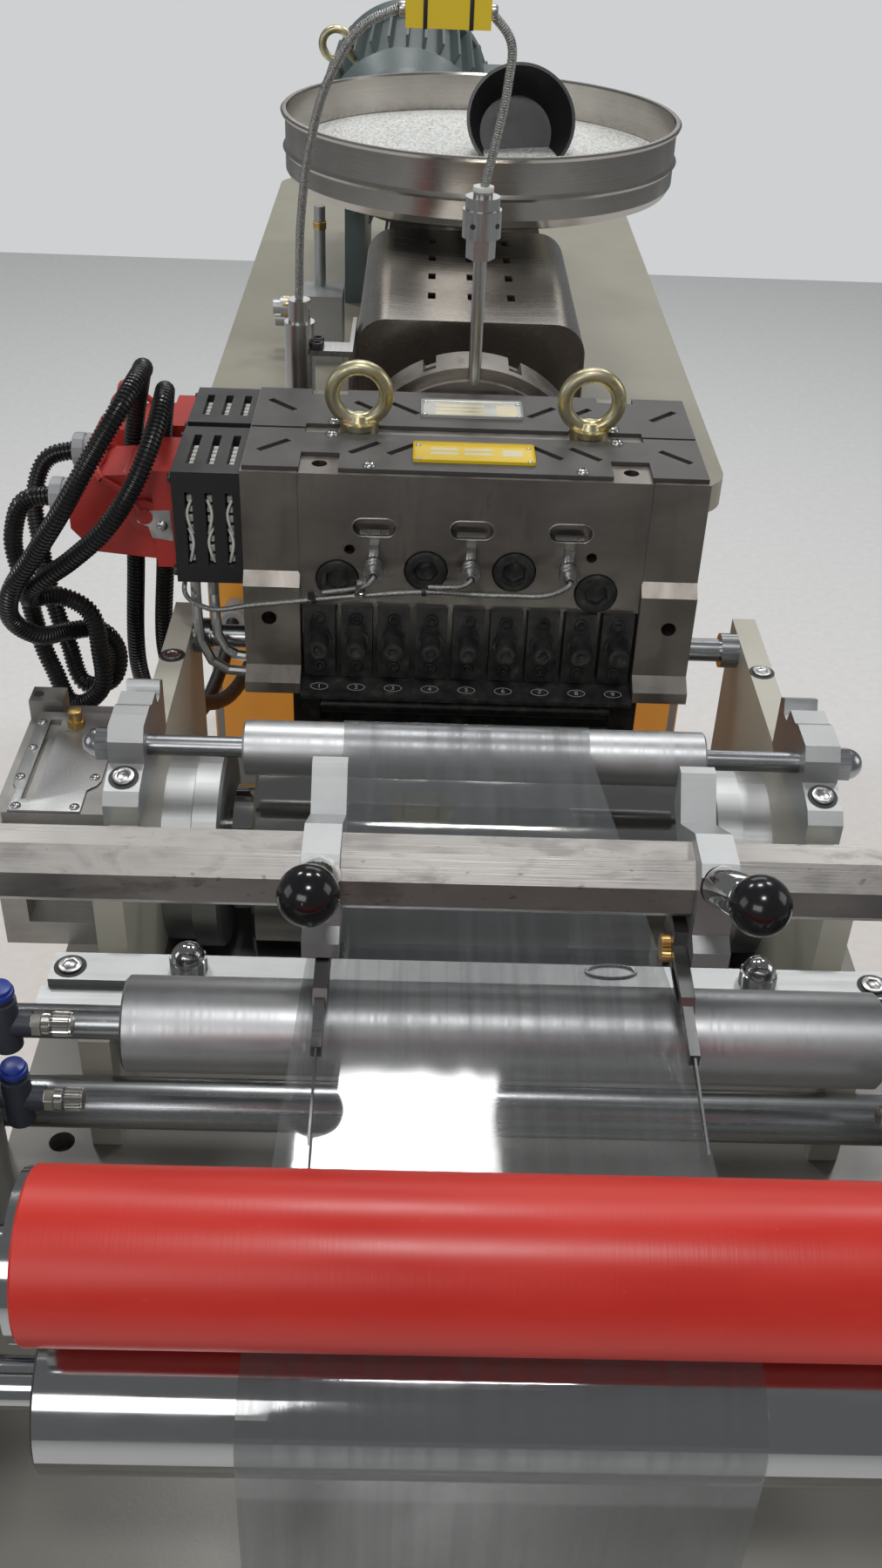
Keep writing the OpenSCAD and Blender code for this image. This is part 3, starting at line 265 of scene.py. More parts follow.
def cloudy(finish, colour, strength=0.12, scale=9, centre=(0, 0, 0)):
    """The colour, a little darker and lighter in soft clouds."""
    clouds = finish.noise(finish.coords(centre=centre), scale, 4, 0.6)
    dark = [c * (1 - strength) for c in colour]
    light = [min(1, c * (1 + strength)) for c in colour]
    return finish.ramp(clouds, (0.3, dark), (0.7, light))


# %% [markdown]
# ### Metals
# Turned rollers carry fine rings round their axis, a ground bar has lines along it, and
# a die is ground flat and then tinted brown by its own heat.

# %% Metal finishes
def grained_metal(name, colour, roughness, along, fineness=1.0, clouds=0.06, depth=0.15,
                  smudge=0.08):
    """Metal with fine lines that run along one axis ('x', 'y' or 'z') or round X ('ring')."""
    finish = Finish(name, colour, 1.0, roughness)
    fine, long = 900 * fineness, 6
    scale = {"x": (long, fine, fine), "y": (fine, long, fine), "z": (fine, fine, long),
             "ring": (fine, 1.5, 1.5)}[along]
    lines = finish.noise(finish.coords(scale), 1, 3, 0.7)
    patches = finish.noise(finish.coords(), 14, 4, 0.6)
    rough = finish.spread(lines, 0.25, 0.75, roughness - 0.06, roughness + 0.08)
    smudges = finish.spread(patches, 0.35, 0.7, 0, smudge)
    return finish.feed(
        Base_Color=cloudy(finish, colour, clouds, 22),
        Roughness=finish.arithmetic("ADD", rough, smudges),
        Normal=finish.bump(lines, depth, 0.0002),
    )


satin_aluminium = grained_metal("satin_aluminium", (0.5, 0.51, 0.51), 0.42, "x", 0.5)
roller_aluminium = grained_metal("roller_aluminium", (0.56, 0.57, 0.58), 0.38, "ring", 0.6)
bright_steel = grained_metal("bright_steel", (0.5, 0.5, 0.49), 0.26, "ring", 0.8)
shaft_steel = grained_metal("shaft_steel", (0.42, 0.43, 0.44), 0.22, "x", 0.6)
knife_steel = grained_metal("knife_steel", (0.2, 0.2, 0.2), 0.34, "x", 0.6)
worn_aluminium = grained_metal("worn_aluminium", (0.36, 0.35, 0.33), 0.5, "x", 0.4, 0.16)


def milled_bar():
    """A handled aluminium bar: milling lines along it, and dull grey stains."""
    finish = Finish("milled_bar", (0.6, 0.58, 0.56), 1.0, 0.38)
    lines = finish.noise(finish.coords((9, 700, 700)), 1, 3, 0.65)
    stains = finish.noise(finish.coords((26, 60, 60)), 1, 5, 0.65, 0.4)
    specks = finish.noise(finish.coords((150, 260, 260)), 1, 2, 0.5)
    colour = finish.mix(
        finish.spread(stains, 0.56, 0.68, 0, 0.75), (0.42, 0.4, 0.38), (0.27, 0.25, 0.23))
    colour = finish.mix(finish.spread(specks, 0.68, 0.74, 0, 0.6), colour, (0.16, 0.14, 0.12))
    return finish.feed(
        Base_Color=colour,
        Roughness=finish.spread(stains, 0.4, 0.7, 0.32, 0.52),
        Normal=finish.bump(lines, 0.25, 0.0003),
    )


milled_aluminium = milled_bar()


def die_steel_finish():
    """Ground tool steel, straw and brown from heat, with a few dark drips."""
    finish = Finish("die_steel", (0.42, 0.38, 0.34), 1.0, 0.4)
    lines = finish.noise(finish.coords((14, 600, 600)), 1, 3, 0.7)
    tint = finish.noise(finish.coords((9, 9, 16)), 1, 4, 0.6, 0.3)
    drips = finish.noise(finish.coords((70, 40, 9)), 1, 4, 0.6)
    colour = finish.ramp(
        tint, (0.3, (0.22, 0.195, 0.175)), (0.5, (0.29, 0.265, 0.24)), (0.72, (0.36, 0.33, 0.3)))
    colour = finish.mix(finish.spread(drips, 0.62, 0.74, 0, 0.55), colour, (0.13, 0.105, 0.09))
    return finish.feed(
        Base_Color=colour,
        Roughness=finish.spread(drips, 0.35, 0.7, 0.34, 0.52),
        Normal=finish.bump(lines, 0.3, 0.0003),
    )


die_steel = die_steel_finish()


def chrome_finish(name, colour=(0.82, 0.83, 0.85), haze=0.05):
    """A plated mirror with faint wiping marks and a few hairline scratches."""
    finish = Finish(name, colour, 1.0, haze)
    wiped = finish.noise(finish.coords((16, 60, 60)), 1, 4, 0.6)
    hairs = finish.noise(finish.coords((1500, 6, 6)), 1, 1, 0.5)
    return finish.feed(
        Roughness=finish.spread(wiped, 0.35, 0.75, haze * 0.5, haze * 2.2),
        Normal=finish.bump(hairs, 0.03, 0.0001),
    )


chrome = chrome_finish("chrome", (0.6, 0.6, 0.59))
roll_chrome = chrome_finish("roll_chrome", (0.36, 0.36, 0.34), 0.07)
polished_steel = chrome_finish("polished_steel", (0.5, 0.5, 0.5), 0.08)


def spun_stainless():
    """Spun sheet: rings round the pan's own axis, so the noise reads the distance from it."""
    low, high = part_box("hopper_pan")
    centre = (low + high) / 2
    finish = Finish("spun_stainless", (0.6, 0.59, 0.57), 1.0, 0.3)
    centred = finish.coords(centre=(centre.x, centre.y, 0))
    flat = finish.nodes.new("ShaderNodeVectorMath")
    flat.operation = "MULTIPLY"
    finish.links.new(centred, flat.inputs[0])
    flat.inputs[1].default_value = (1, 1, 0)
    distance = finish.nodes.new("ShaderNodeVectorMath")
    distance.operation = "LENGTH"
    finish.links.new(flat.outputs["Vector"], distance.inputs[0])
    height = finish.nodes.new("ShaderNodeSeparateXYZ")
    finish.links.new(centred, height.inputs[0])
    rings = finish.nodes.new("ShaderNodeCombineXYZ")
    finish.links.new(distance.outputs["Value"], rings.inputs["X"])
    finish.links.new(height.outputs["Z"], rings.inputs["Z"])
    lines = finish.noise(rings.outputs["Vector"], 1200, 3, 0.7)
    return finish.feed(
        Base_Color=cloudy(finish, (0.46, 0.435, 0.4), 0.14, 12),
        Roughness=finish.spread(lines, 0.3, 0.7, 0.16, 0.3),
        Normal=finish.bump(lines, 0.12, 0.0002),
    )


spun_steel = spun_stainless()


def zinc_finish():
    """Yellow passivated zinc shifts between straw, green and rose."""
    finish = Finish("yellow_zinc", (0.6, 0.5, 0.3), 1.0, 0.36)
    shift = finish.noise(finish.coords(), 70, 3, 0.6, 0.8)
    pits = finish.noise(finish.coords(), 900, 2)
    colour = finish.ramp(
        shift, (0.3, (0.55, 0.47, 0.22)), (0.45, (0.66, 0.58, 0.36)), (0.58, (0.5, 0.5, 0.34)),
        (0.72, (0.62, 0.42, 0.34)))
    return finish.feed(
        Base_Color=colour,
        Roughness=finish.spread(shift, 0.3, 0.7, 0.28, 0.46),
        Normal=finish.bump(pits, 0.15, 0.0003),
    )


yellow_zinc = zinc_finish()


def black_oxide_finish():
    """Oiled black oxide: nearly black, a little brown, with rubbed patches."""
    finish = Finish("black_oxide", (0.03, 0.03, 0.032), 0.6, 0.38)
    rubbed = finish.noise(finish.coords(), 110, 4, 0.65)
    colour = finish.ramp(
        rubbed, (0.35, (0.03, 0.03, 0.032)), (0.6, (0.06, 0.058, 0.055)),
        (0.75, (0.13, 0.125, 0.12)))
    return finish.feed(
        Base_Color=colour,
        Roughness=finish.spread(rubbed, 0.3, 0.7, 0.3, 0.5),
        Normal=finish.bump(rubbed, 0.1, 0.0003),
    )


black_oxide = black_oxide_finish()
brass = grained_metal("brass", (0.62, 0.42, 0.16), 0.34, "ring", 0.5, 0.12)
print("metal finishes:", len(bpy.data.materials))

# %% [markdown]
# ### Paint, plastic and rubber
# Powder coat has a fine orange-peel surface, cast housings a coarser one, and mouldings a
# spark-eroded grain. Dust lightens what faces up, on matt surfaces most of all.

# %% Paint, plastic and rubber finishes
def painted(name, colour, roughness=0.45, peel=260, depth=0.12, clouds=0.06, dirt=0.0,
            metallic=0.0):
    finish = Finish(name, colour, metallic, roughness)
    skin = finish.noise(finish.coords(), peel, 2, 0.5)
    grime = finish.noise(finish.coords((3, 3, 7)), 1, 5, 0.7, 0.4)
    tone = cloudy(finish, colour, clouds, 6)
    if dirt:
        tone = finish.mix(
            finish.spread(grime, 0.5, 0.75, 0, dirt), tone, [c * 0.35 for c in colour])
    return finish.feed(
        Base_Color=tone,
        Roughness=finish.spread(grime, 0.3, 0.7, roughness - 0.07, roughness + 0.1),
        Normal=finish.bump(skin, depth, 0.0004),
    )


def dusty(name, colour, roughness, dust=(0.42, 0.4, 0.37), amount=0.3, grain=800, depth=0.12,
          metallic=0.0):
    """A dark surface with dust on the faces that look up."""
    finish = Finish(name, colour, metallic, roughness)
    normal = finish.nodes.new("ShaderNodeNewGeometry")
    split = finish.nodes.new("ShaderNodeSeparateXYZ")
    finish.links.new(normal.outputs["Normal"], split.inputs[0])
    up = finish.spread(split.outputs["Z"], 0.4, 1.0, 0, 1)
    patches = finish.noise(finish.coords(), 28, 5, 0.7, 0.3)
    share = finish.arithmetic(
        "MULTIPLY", up, finish.spread(patches, 0.32, 0.72, 0.1 * amount, amount))
    skin = finish.noise(finish.coords(), grain, 2, 0.5)
    return finish.feed(
        Base_Color=finish.mix(share, cloudy(finish, colour, 0.15, 30), dust),
        Roughness=finish.spread(patches, 0.3, 0.7, roughness - 0.05, roughness + 0.12),
        Normal=finish.bump(skin, depth, 0.0003),
    )


orange_paint = painted("orange_paint", (0.76, 0.33, 0.035), 0.42, 320, 0.1, 0.05, 0.12)
cabinet_grey = painted("cabinet_grey", (0.2, 0.205, 0.21), 0.5, 300, 0.1)
table_cream = painted("table_cream", (0.3, 0.28, 0.22), 0.4, 520, 0.2, 0.06, 0.15)
plate_grey = painted("plate_grey", (0.2, 0.19, 0.165), 0.3, 520, 0.08, 0.08, 0.2)
cream_paint = painted("cream_paint", (0.52, 0.5, 0.42), 0.42, 420, 0.08, 0.05, 0.12)
machine_green = painted("machine_green", (0.085, 0.11, 0.11), 0.38, 260, 0.25, 0.12)
connector_red = painted("connector_red", (0.42, 0.03, 0.022), 0.36, 240, 0.2, 0.12, 0.25)
cover_dark = dusty("cover_dark", (0.05, 0.047, 0.045), 0.45, amount=0.14)
box_black = dusty("box_black", (0.014, 0.014, 0.015), 0.5, amount=0.12, grain=1500)
fitting_dark = dusty("fitting_dark", (0.03, 0.035, 0.05), 0.4, amount=0.08)
gland_grey = dusty("gland_grey", (0.3, 0.31, 0.32), 0.5, amount=0.1)
conduit_black = dusty("conduit_black", (0.01, 0.01, 0.011), 0.24, amount=0.03)
cup_black = dusty("cup_black", (0.012, 0.012, 0.013), 0.28, amount=0.05)
plate_pale = painted("plate_pale", (0.5, 0.5, 0.46), 0.3, 900, 0.05, 0.05, 0.15, metallic=0.5)
plate_yellow = painted("plate_yellow", (0.72, 0.5, 0.015), 0.32, 900, 0.04, 0.04, 0.1)
field_cream = painted("field_cream", (0.66, 0.6, 0.4), 0.4, 900, 0.04)
yellow_plastic = painted("yellow_plastic", (0.7, 0.5, 0.02), 0.42, 700, 0.1)
knob_black = painted("knob_black", (0.008, 0.008, 0.009), 0.16, 300, 0.02, 0.1)


def red_silicone():
    """Silicone rubber: ground on a lathe, so it has faint rings, and it holds dust."""
    finish = Finish("red_silicone", (0.62, 0.03, 0.018), 0.0, 0.36)
    rings = finish.noise(finish.coords((700, 2, 2)), 1, 3, 0.6)
    patches = finish.noise(finish.coords((7, 22, 22)), 1, 4, 0.6)
    specks = finish.noise(finish.coords(), 420, 2, 0.5)
    colour = finish.ramp(
        patches, (0.3, (0.5, 0.016, 0.009)), (0.7, (0.6, 0.026, 0.014)))
    colour = finish.mix(finish.spread(specks, 0.72, 0.78, 0, 0.12), colour, (0.7, 0.2, 0.16))
    return finish.feed(
        Base_Color=colour,
        Roughness=finish.spread(patches, 0.3, 0.7, 0.3, 0.44),
        Normal=finish.bump(rings, 0.12, 0.0003),
    )


rubber_red = red_silicone()


def clear_film():
    """Thin clear film: hardly there seen square on, bright at a slant, with soft streaks."""
    finish = Finish("clear_film", (0.16, 0.17, 0.175), 0.0, 0.05, IOR=2.0)
    streaks = finish.noise(finish.coords((160, 3, 3)), 1, 3, 0.6)
    ripples = finish.noise(finish.coords((30, 7, 7)), 1, 2, 0.5)
    slant = finish.nodes.new("ShaderNodeLayerWeight")
    slant.inputs["Blend"].default_value = 0.35
    clear = finish.spread(slant.outputs["Facing"], 0.0, 1.0, 0.12, 0.5)
    veil = finish.arithmetic("ADD", clear, finish.spread(streaks, 0.45, 0.8, 0, 0.16))
    return finish.feed(
        Alpha=veil,
        Normal=finish.bump(ripples, 0.12, 0.002),
    )


film_clear = clear_film()


def woven_wire():
    finish = Finish("woven_wire", (0.42, 0.42, 0.41), 1.0, 0.42)
    strands = finish.noise(finish.coords(), 1400, 2, 0.6)
    return finish.feed(
        Base_Color=finish.ramp(
            strands, (0.4, (0.2, 0.2, 0.19)), (0.6, (0.52, 0.52, 0.5))),
        Normal=finish.bump(strands, 0.6, 0.0006),
    )


braid = woven_wire()


def pellet_plastic():
    finish = Finish("pellet_plastic", (0.84, 0.84, 0.8), 0.0, 0.3,
                    Subsurface_Weight=0.3, Subsurface_Scale=0.003)
    cells = finish.nodes.new("ShaderNodeTexVoronoi")
    finish.links.new(finish.coords(), cells.inputs["Vector"])
    cells.inputs["Scale"].default_value = 310
    # Each Voronoi cell is one pellet, light in its middle and grey towards its rim: painted shade
    # between the pellets.
    tone = finish.ramp(
        cells.outputs["Distance"], (0.25, (0.86, 0.86, 0.83)), (0.75, (0.5, 0.5, 0.47)))
    return finish.feed(
        Base_Color=tone,
        Normal=finish.bump(
            finish.spread(cells.outputs["Distance"], 0, 1, 1, 0), 0.8, 0.0015),
        Roughness=finish.spread(finish.noise(finish.coords(), 300), 0.3, 0.7, 0.22, 0.4),
    )


pellet_white = pellet_plastic()
print("finishes:", len(bpy.data.materials))

# %% [markdown]
# ## Cables and conduits
# The CAD holds each cable as a plain tube. Here each one gets its surface: corrugation on
# the black conduits, armour on the two sensor cables and braid on the thermocouple leads.
# The points are those of the CAD, in metres, and a smooth line is laid through them.

# %% Smooth lines and tubes along them
def smooth_line(places, step=0.004):
    """Points along a smooth curve that passes through all the places."""
    places = [Vector(p) for p in places]
    spans = [b - a for a, b in zip(places, places[1:])]
    directions = [spans[0].normalized()]
    for before, after in zip(spans, spans[1:]):
        lean = before.normalized() * after.length + after.normalized() * before.length
        directions.append(lean.normalized())
    directions.append(spans[-1].normalized())
    line = [places[0]]
    for i, span in enumerate(spans):
        count = max(2, round(span.length / step))
        start, end = places[i], places[i + 1]
        out, into = directions[i] * span.length, directions[i + 1] * span.length
        for k in range(1, count + 1):
            t = k / count
            line.append(
                start * (2 * t**3 - 3 * t**2 + 1) + out * (t**3 - 2 * t**2 + t)
                + end * (3 * t**2 - 2 * t**3) + into * (t**3 - t**2))
    return line


def line_length(line):
    return sum((b - a).length for a, b in zip(line, line[1:]))


def guide_curve(line):
    data = bpy.data.curves.new("guide", "CURVE")
    data.dimensions = "3D"
    data.twist_mode = "MINIMUM"
    spline = data.splines.new("POLY")
    spline.points.add(len(line) - 1)
    for point, place in zip(spline.points, line):
        point.co = (*place, 1)
    guide = bpy.data.objects.new("guide", data)
    bpy.context.scene.collection.objects.link(guide)
    return guide


def ribbed_tube(line, diameter, pitch, groove, sides=14):
    """One rib is drawn, repeated along a straight line and then bent to the curve."""
    guide = guide_curve(line)
    valley = diameter / 2 - groove
    bpy.ops.object.select_all(action="DESELECT")
    bpy.ops.mesh.primitive_circle_add(vertices=sides, radius=valley, location=(0, 0, 0))
    rib = bpy.context.active_object
    edit_all("SELECT")
    swell = diameter / 2 / valley
    for rise, grow in ((0.22, swell), (0.34, 1), (0.22, 1 / swell), (0.22, 1)):
        bpy.ops.mesh.extrude_region_move(
            TRANSFORM_OT_translate={"value": (0, 0, rise * pitch)})
        bpy.ops.transform.resize(value=(grow, grow, 1))
    bpy.ops.mesh.select_all(action="SELECT")
    bpy.ops.mesh.normals_make_consistent(inside=False)
    bpy.ops.object.mode_set(mode="OBJECT")
    array = rib.modifiers.new("repeat", "ARRAY")
    array.use_relative_offset = False
    array.use_constant_offset = True
    array.constant_offset_displace = (0, 0, pitch)
    array.count = max(2, round(line_length(line) / pitch))
    array.use_merge_vertices = True
    array.merge_threshold = pitch * 0.05
    bend = rib.modifiers.new("bend", "CURVE")
    bend.object = guide
    bend.deform_axis = "POS_Z"
    bpy.ops.object.modifier_apply(modifier="repeat")
    bpy.ops.object.modifier_apply(modifier="bend")
    bpy.data.objects.remove(guide)
    return rib


def round_tube(line, diameter, sides=3):
    guide = guide_curve(line)
    guide.data.bevel_depth = diameter / 2
    guide.data.bevel_resolution = sides
    guide.data.use_fill_caps = True
    select_only(guide)
    bpy.ops.object.convert(target="MESH")
    return bpy.context.active_object


def lay_cable(node, points, diameter, finish, pitch=None, groove=0.0):
    places = [at(*p) for p in points]
    line = smooth_line(places, 0.003 if diameter < 0.008 else 0.005)
    if pitch:
        piece = ribbed_tube(line, diameter, pitch, groove)
    else:
        piece = round_tube(line, diameter)
    finish_piece(piece, node + "_surface", finish, smooth=50)
    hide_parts(node)
    round(line_length(line), 4)
    print(f"{node}: {line_length(line) * 1000:.0f} mm, {len(piece.data.polygons)} faces")
    return line


# %% Lay the cables
lay_cable("conduit_front", [
    (-280, 42, -40), (-298, 42, -44), (-308, 38, -66), (-302, 30, -106), (-288, 19, -160),
    (-272, 12, -185), (-256, 12, -174), (-253, 15, -142), (-260, 21, -114), (-278, 21, -104),
    (-294, 6, -98), (-288, -7, -84), (-258, -13, -59), (-235, -14, -37), (-217, -9, -12),
    (-204, 10, 16), (-200, 38, 32), (-204, 66, 24), (-211, 81, -18), (-215, 83, -98),
    (-222, 90, -184), (-214, 150, -264), (-200, 240, -320), (-190, 340, -343),
    (-188, 432, -345),
], 0.013, conduit_black, pitch=0.0028, groove=0.0011)
lay_cable("conduit_rear", [
    (-280, 118, -40), (-298, 116, -45), (-308, 104, -66), (-304, 86, -96), (-283, 48, -156),
    (-268, 36, -184), (-252, 34, -178), (-246, 38, -156), (-256, 37, -139), (-275, 26, -134),
    (-290, 3, -125), (-303, -12, -104), (-299, -20, -82), (-280, -23, -53), (-257, -25, -18),
    (-236, -16, 16), (-218, 4, 43), (-212, 34, 50), (-218, 64, 38), (-230, 81, -14),
    (-236, 83, -100), (-243, 90, -200), (-234, 150, -288), (-224, 240, -335),
    (-217, 340, -346), (-216, 432, -345),
], 0.013, conduit_black, pitch=0.0028, groove=0.0011)
lay_cable("probe_conduit", [
    (1, 146, 138), (7, 142, 168), (13, 138, 205), (13, 135, 230), (0, 132, 246),
], 0.006, braid, pitch=0.0016, groove=0.0004)
lay_cable("sensor_cable", [
    (-56, 132, 246), (-74, 135, 238), (-98, 149, 206), (-114, 166, 158), (-122, 182, 108),
    (-126, 200, 46),
], 0.006, braid, pitch=0.0016, groove=0.0004)
lead_right = lay_cable("thermo_lead_right", [
    (63, -17, -61), (63, -21, -62), (56, -20, -68), (20, -16, -74), (-28, -16, -73),
    (-76, -17, -77), (-140, -16, -86), (-175, -9, -93), (-190, 5, -89), (-190, 13, -82),
], 0.0034, braid)
lay_cable("thermo_lead_middle", [
    (-1, -17, -61), (-1, -21, -61.5), (-5, -21, -65), (-14, -18, -68), (-28, -16.5, -69.2),
], 0.0034, braid)
lay_cable("thermo_lead_left", [
    (-64, -17, -61), (-64, -21, -62), (-68, -21, -67), (-76, -18, -71), (-97, -16.5, -75.4),
], 0.0034, braid)

# %% [markdown]
# ## Screws and bolts
# Each kind of screw is modelled once, standing on the origin and looking up, and then
# copied to all its places. A cap screw is a cylinder with a hexagon cut into it and its
# edges broken; a dome screw is the top of a flattened ball with a cross cut into it.

# %% Helpers for fasteners
UP, FRONT, BACK = (0, 0, 1), (0, -1, 0), (0, 1, 0)
LEFT, RIGHT = (-1, 0, 0), (1, 0, 0)


def mm(*values):
    """Millimetres to metres."""
    return tuple(v / 1000 for v in values) if len(values) > 1 else values[0] / 1000


def drum(diameter, height, sides=40, low=0.0):
    """A cylinder on the Z axis that stands at the height low. Sizes in millimetres."""
    bpy.ops.mesh.primitive_cylinder_add(
        vertices=sides, radius=mm(diameter) / 2, depth=mm(height),
        location=(0, 0, mm(low + height / 2)))
    apply_now(location=True)
    return bpy.context.active_object


def slab(width, depth, height, centre=(0, 0, 0)):
    """A box round a centre. Sizes in millimetres."""
    bpy.ops.mesh.primitive_cube_add(size=1, location=mm(*centre))
    bpy.context.active_object.scale = mm(width, depth, height)
    apply_now(location=True, scale=True)
    return bpy.context.active_object


def cut(piece, *tools):
    """Takes each tool's shape out of the piece."""
    for tool in tools:
        select_only(piece)
        modifier = piece.modifiers.new("cut", "BOOLEAN")
        modifier.operation = "DIFFERENCE"
        modifier.solver = "EXACT"
        modifier.object = tool
        bpy.ops.object.modifier_apply(modifier="cut")
        bpy.data.objects.remove(tool)
    return piece


def soften(piece, width, segments=2, angle=30):
    """Breaks the sharp edges. Width in millimetres."""
    select_only(piece)
    modifier = piece.modifiers.new("edge", "BEVEL")
    modifier.width = mm(width)
    modifier.segments = segments
    modifier.limit_method = "ANGLE"
    modifier.angle_limit = math.radians(angle)
    bpy.ops.object.modifier_apply(modifier="edge")
    return piece


def cap_screw(diameter, height, hexagon, edge=0.4):
    head = drum(diameter, height, 36)
    key = drum(hexagon * 2 / math.sqrt(3), height * 0.6, 6, height * 0.45)
    return soften(cut(head, key), edge)


def dome_screw(diameter, height, cross=True):
    bpy.ops.mesh.primitive_uv_sphere_add(segments=24, ring_count=12, radius=mm(diameter) / 2)
    head = bpy.context.active_object
    head.scale = (1, 1, height * 2 / diameter)
    apply_now(scale=True)
    edit_all("SELECT")
    bpy.ops.mesh.bisect(plane_co=(0, 0, 0), plane_no=(0, 0, 1), clear_inner=True, use_fill=True)
    bpy.ops.object.mode_set(mode="OBJECT")
    if cross:
        arm, depth = diameter * 0.5, height * 0.5
        for w, d in ((arm, diameter * 0.12), (diameter * 0.12, arm)):
            cut(head, slab(w, d, depth * 2, (0, 0, height)))
    return head


def facing(place, way, spin=0.0):
    """The matrix that stands a screw at the place, looking the given way."""
    turn = Vector(way).to_track_quat("Z", "Y").to_matrix().to_4x4()
    return Matrix.Translation(place) @ turn @ Matrix.Rotation(spin, 4, "Z")


def stand(matrix, *parts):
    """Stands all the parts at one place and returns them."""
    for part in parts:
        part.matrix_world = matrix
    return list(parts)


def set_out(model, spots, name, material, body=ROOT, smooth=35):
    """Copies the model to every spot, a matrix, and makes one piece of the copies."""
    copies = [copy_to(model, place) for place in spots]
    bpy.data.objects.remove(model)
    return finish_piece(join_pieces(copies), name, material, body, smooth)


# %% Bolts of the die
turns = random.Random(7)


def spin():
    return turns.uniform(0, math.pi)


bolt_places = [(-88, -74), (-30, -66), (28, -65), (83, -79)]
set_out(
    cap_screw(27.4, 9, 14, 1.1),
    [facing(at(x, 7, z), FRONT, spin()) for x, z in bolt_places],
    "die_bolts", black_oxide)

block_count, block_pitch = 9, 25
block_xs = [(i - block_count // 2) * block_pitch for i in range(block_count)]
block_screw_zs = (-101, -138)
set_out(
    cap_screw(8.4, 2.6, 4, 0.35),
    [facing(at(x, -2, z), FRONT, spin()) for x in block_xs for z in block_screw_zs],
    "lip_block_screws", black_oxide)
set_out(
    cap_screw(13.3, 1.4, 6, 0.5),
    [facing(at(x, -20.8, -93 - 53 * 0.44), FRONT, spin()) for x in block_xs],
    "lip_bolt_ends", black_oxide)
print("die bolts and lip screws:", len(bolt_places) + 3 * len(block_xs))

# %% Screws and bare plates on the die's covers
cover_top = 2.4
set_out(
    dome_screw(8.5, 3),
    [facing(at(sx * x, y, cover_top), UP, spin()) for sx in (-1, 1)
     for x, y in ((94.5, 58), (68, 9), (94, 80))],
    "cover_screws", bright_steel)


def bare_plate(width, depth, thick, name, material, place):
    """A nameplate blank with round corners; its rivets are set out apart from it."""
    plate = slab(width, depth, thick, (0, 0, thick / 2))
    edit_all("DESELECT")
    bpy.ops.object.mode_set(mode="OBJECT")
    for edge in plate.data.edges:
        a, b = (plate.data.vertices[v].co for v in edge.vertices)
        edge.select = abs(a.z - b.z) > mm(thick * 0.5)
    bpy.ops.object.mode_set(mode="EDIT")
    bpy.ops.mesh.bevel(offset=mm(2.2), segments=5)
    bpy.ops.object.mode_set(mode="OBJECT")
    soften(plate, 0.15, 1)
    return set_out(plate, [Matrix.Translation(place)], name, material)


bare_plate(70, 30, 0.7, "bare_plate_pale", plate_pale, at(-1, 108, 2.5))
bare_plate(79, 30, 0.7, "bare_plate_yellow", plate_yellow, at(-1, 32, 2.5))
fields = [slab(w, d, 0.12, (x, y, 3.22)) for x, y, w, d in (
    (-9, 100, 34, 5), (-9, 107, 34, 5), (-9, 114, 34, 5), (23, 107, 14, 18),
    (-20, 38, 18, 4), (2, 38, 18, 4), (-20, 31, 18, 4), (2, 31, 18, 4), (24, 34, 13, 10))]
set_out(join_pieces(fields), [spot(0, 0, 0)], "blank_fields", field_cream)
set_out(
    dome_screw(3.4, 1, False),
    [spot(x, y, 3.1) for x, y in (
        (-33, 97), (31, 97), (-33, 119), (31, 119), (-37, 21), (35, 21), (-37, 43), (35, 43))],
    "plate_rivets", bright_steel)

# %% [markdown]
# ### Numbers on the strip
# The strip under the lip bolts counts them from 1 to 9, each in an oval.

# %% Numbers
strip_tilt = Matrix.Rotation(math.atan2(3.5, 19), 4, "X")
numerals = []
for i, x in enumerate(block_xs):
    bpy.ops.object.text_add(location=(0, 0, 0))
    numeral = bpy.context.active_object
    numeral.data.body = str(i + 1)
    numeral.data.size = mm(5.4)
    numeral.data.extrude = mm(0.06)
    numeral.data.align_x = "CENTER"
    numeral.data.align_y = "CENTER"
    bpy.ops.object.convert(target="MESH")
    numeral = bpy.context.active_object
    bpy.ops.mesh.primitive_torus_add(
        major_radius=mm(4), minor_radius=mm(0.18), major_segments=36, minor_segments=6)
    oval = bpy.context.active_object
    oval.scale = (1.45, 0.82, 1)
    apply_now(scale=True)
    pair = join_pieces([numeral, oval])
    pair.matrix_world = spot(x, -14.5, -148.05) @ strip_tilt
    numerals.append(pair)
number_finish = painted("number_grey", (0.36, 0.36, 0.35), 0.5, 900, 0.05)
finish_piece(join_pieces(numerals), "strip_numbers", number_finish, smooth=None)

# %% [markdown]
# ## Take-off: screws, nuts, knob hubs and fittings
# The cap screws of the frames sit on their top faces. The dome nuts, the hubs of the
# clamping knobs and the valve fittings are plated, so each gets a thin plated skin that
# stands a few tenths of a millimetre outside the CAD solid.

# %% Frame screws
frame_spots = [facing(at(sx * 196, -25, -121), UP, spin()) for sx in (-1, 1)]
frame_spots += [facing(at(sx * 212, -297, -150), UP, spin()) for sx in (-1, 1)]
bracket_tilt = (0, -0.24, 0.97)
frame_spots += [facing(at(sx * 197, -196, -99.4), bracket_tilt, spin()) for sx in (-1, 1)]
set_out(cap_screw(12.5, 1.8, 6.5, 0.6), frame_spots, "frame_screws", bright_steel)
# A thin black disc under each screw head is painted shade of its counterbore.
counterbore_shade_disc = drum(17, 0.25, 40)
set_out(counterbore_shade_disc, frame_spots, "frame_screw_counterbore_shade", box_black)
print("frame screws:", len(frame_spots))

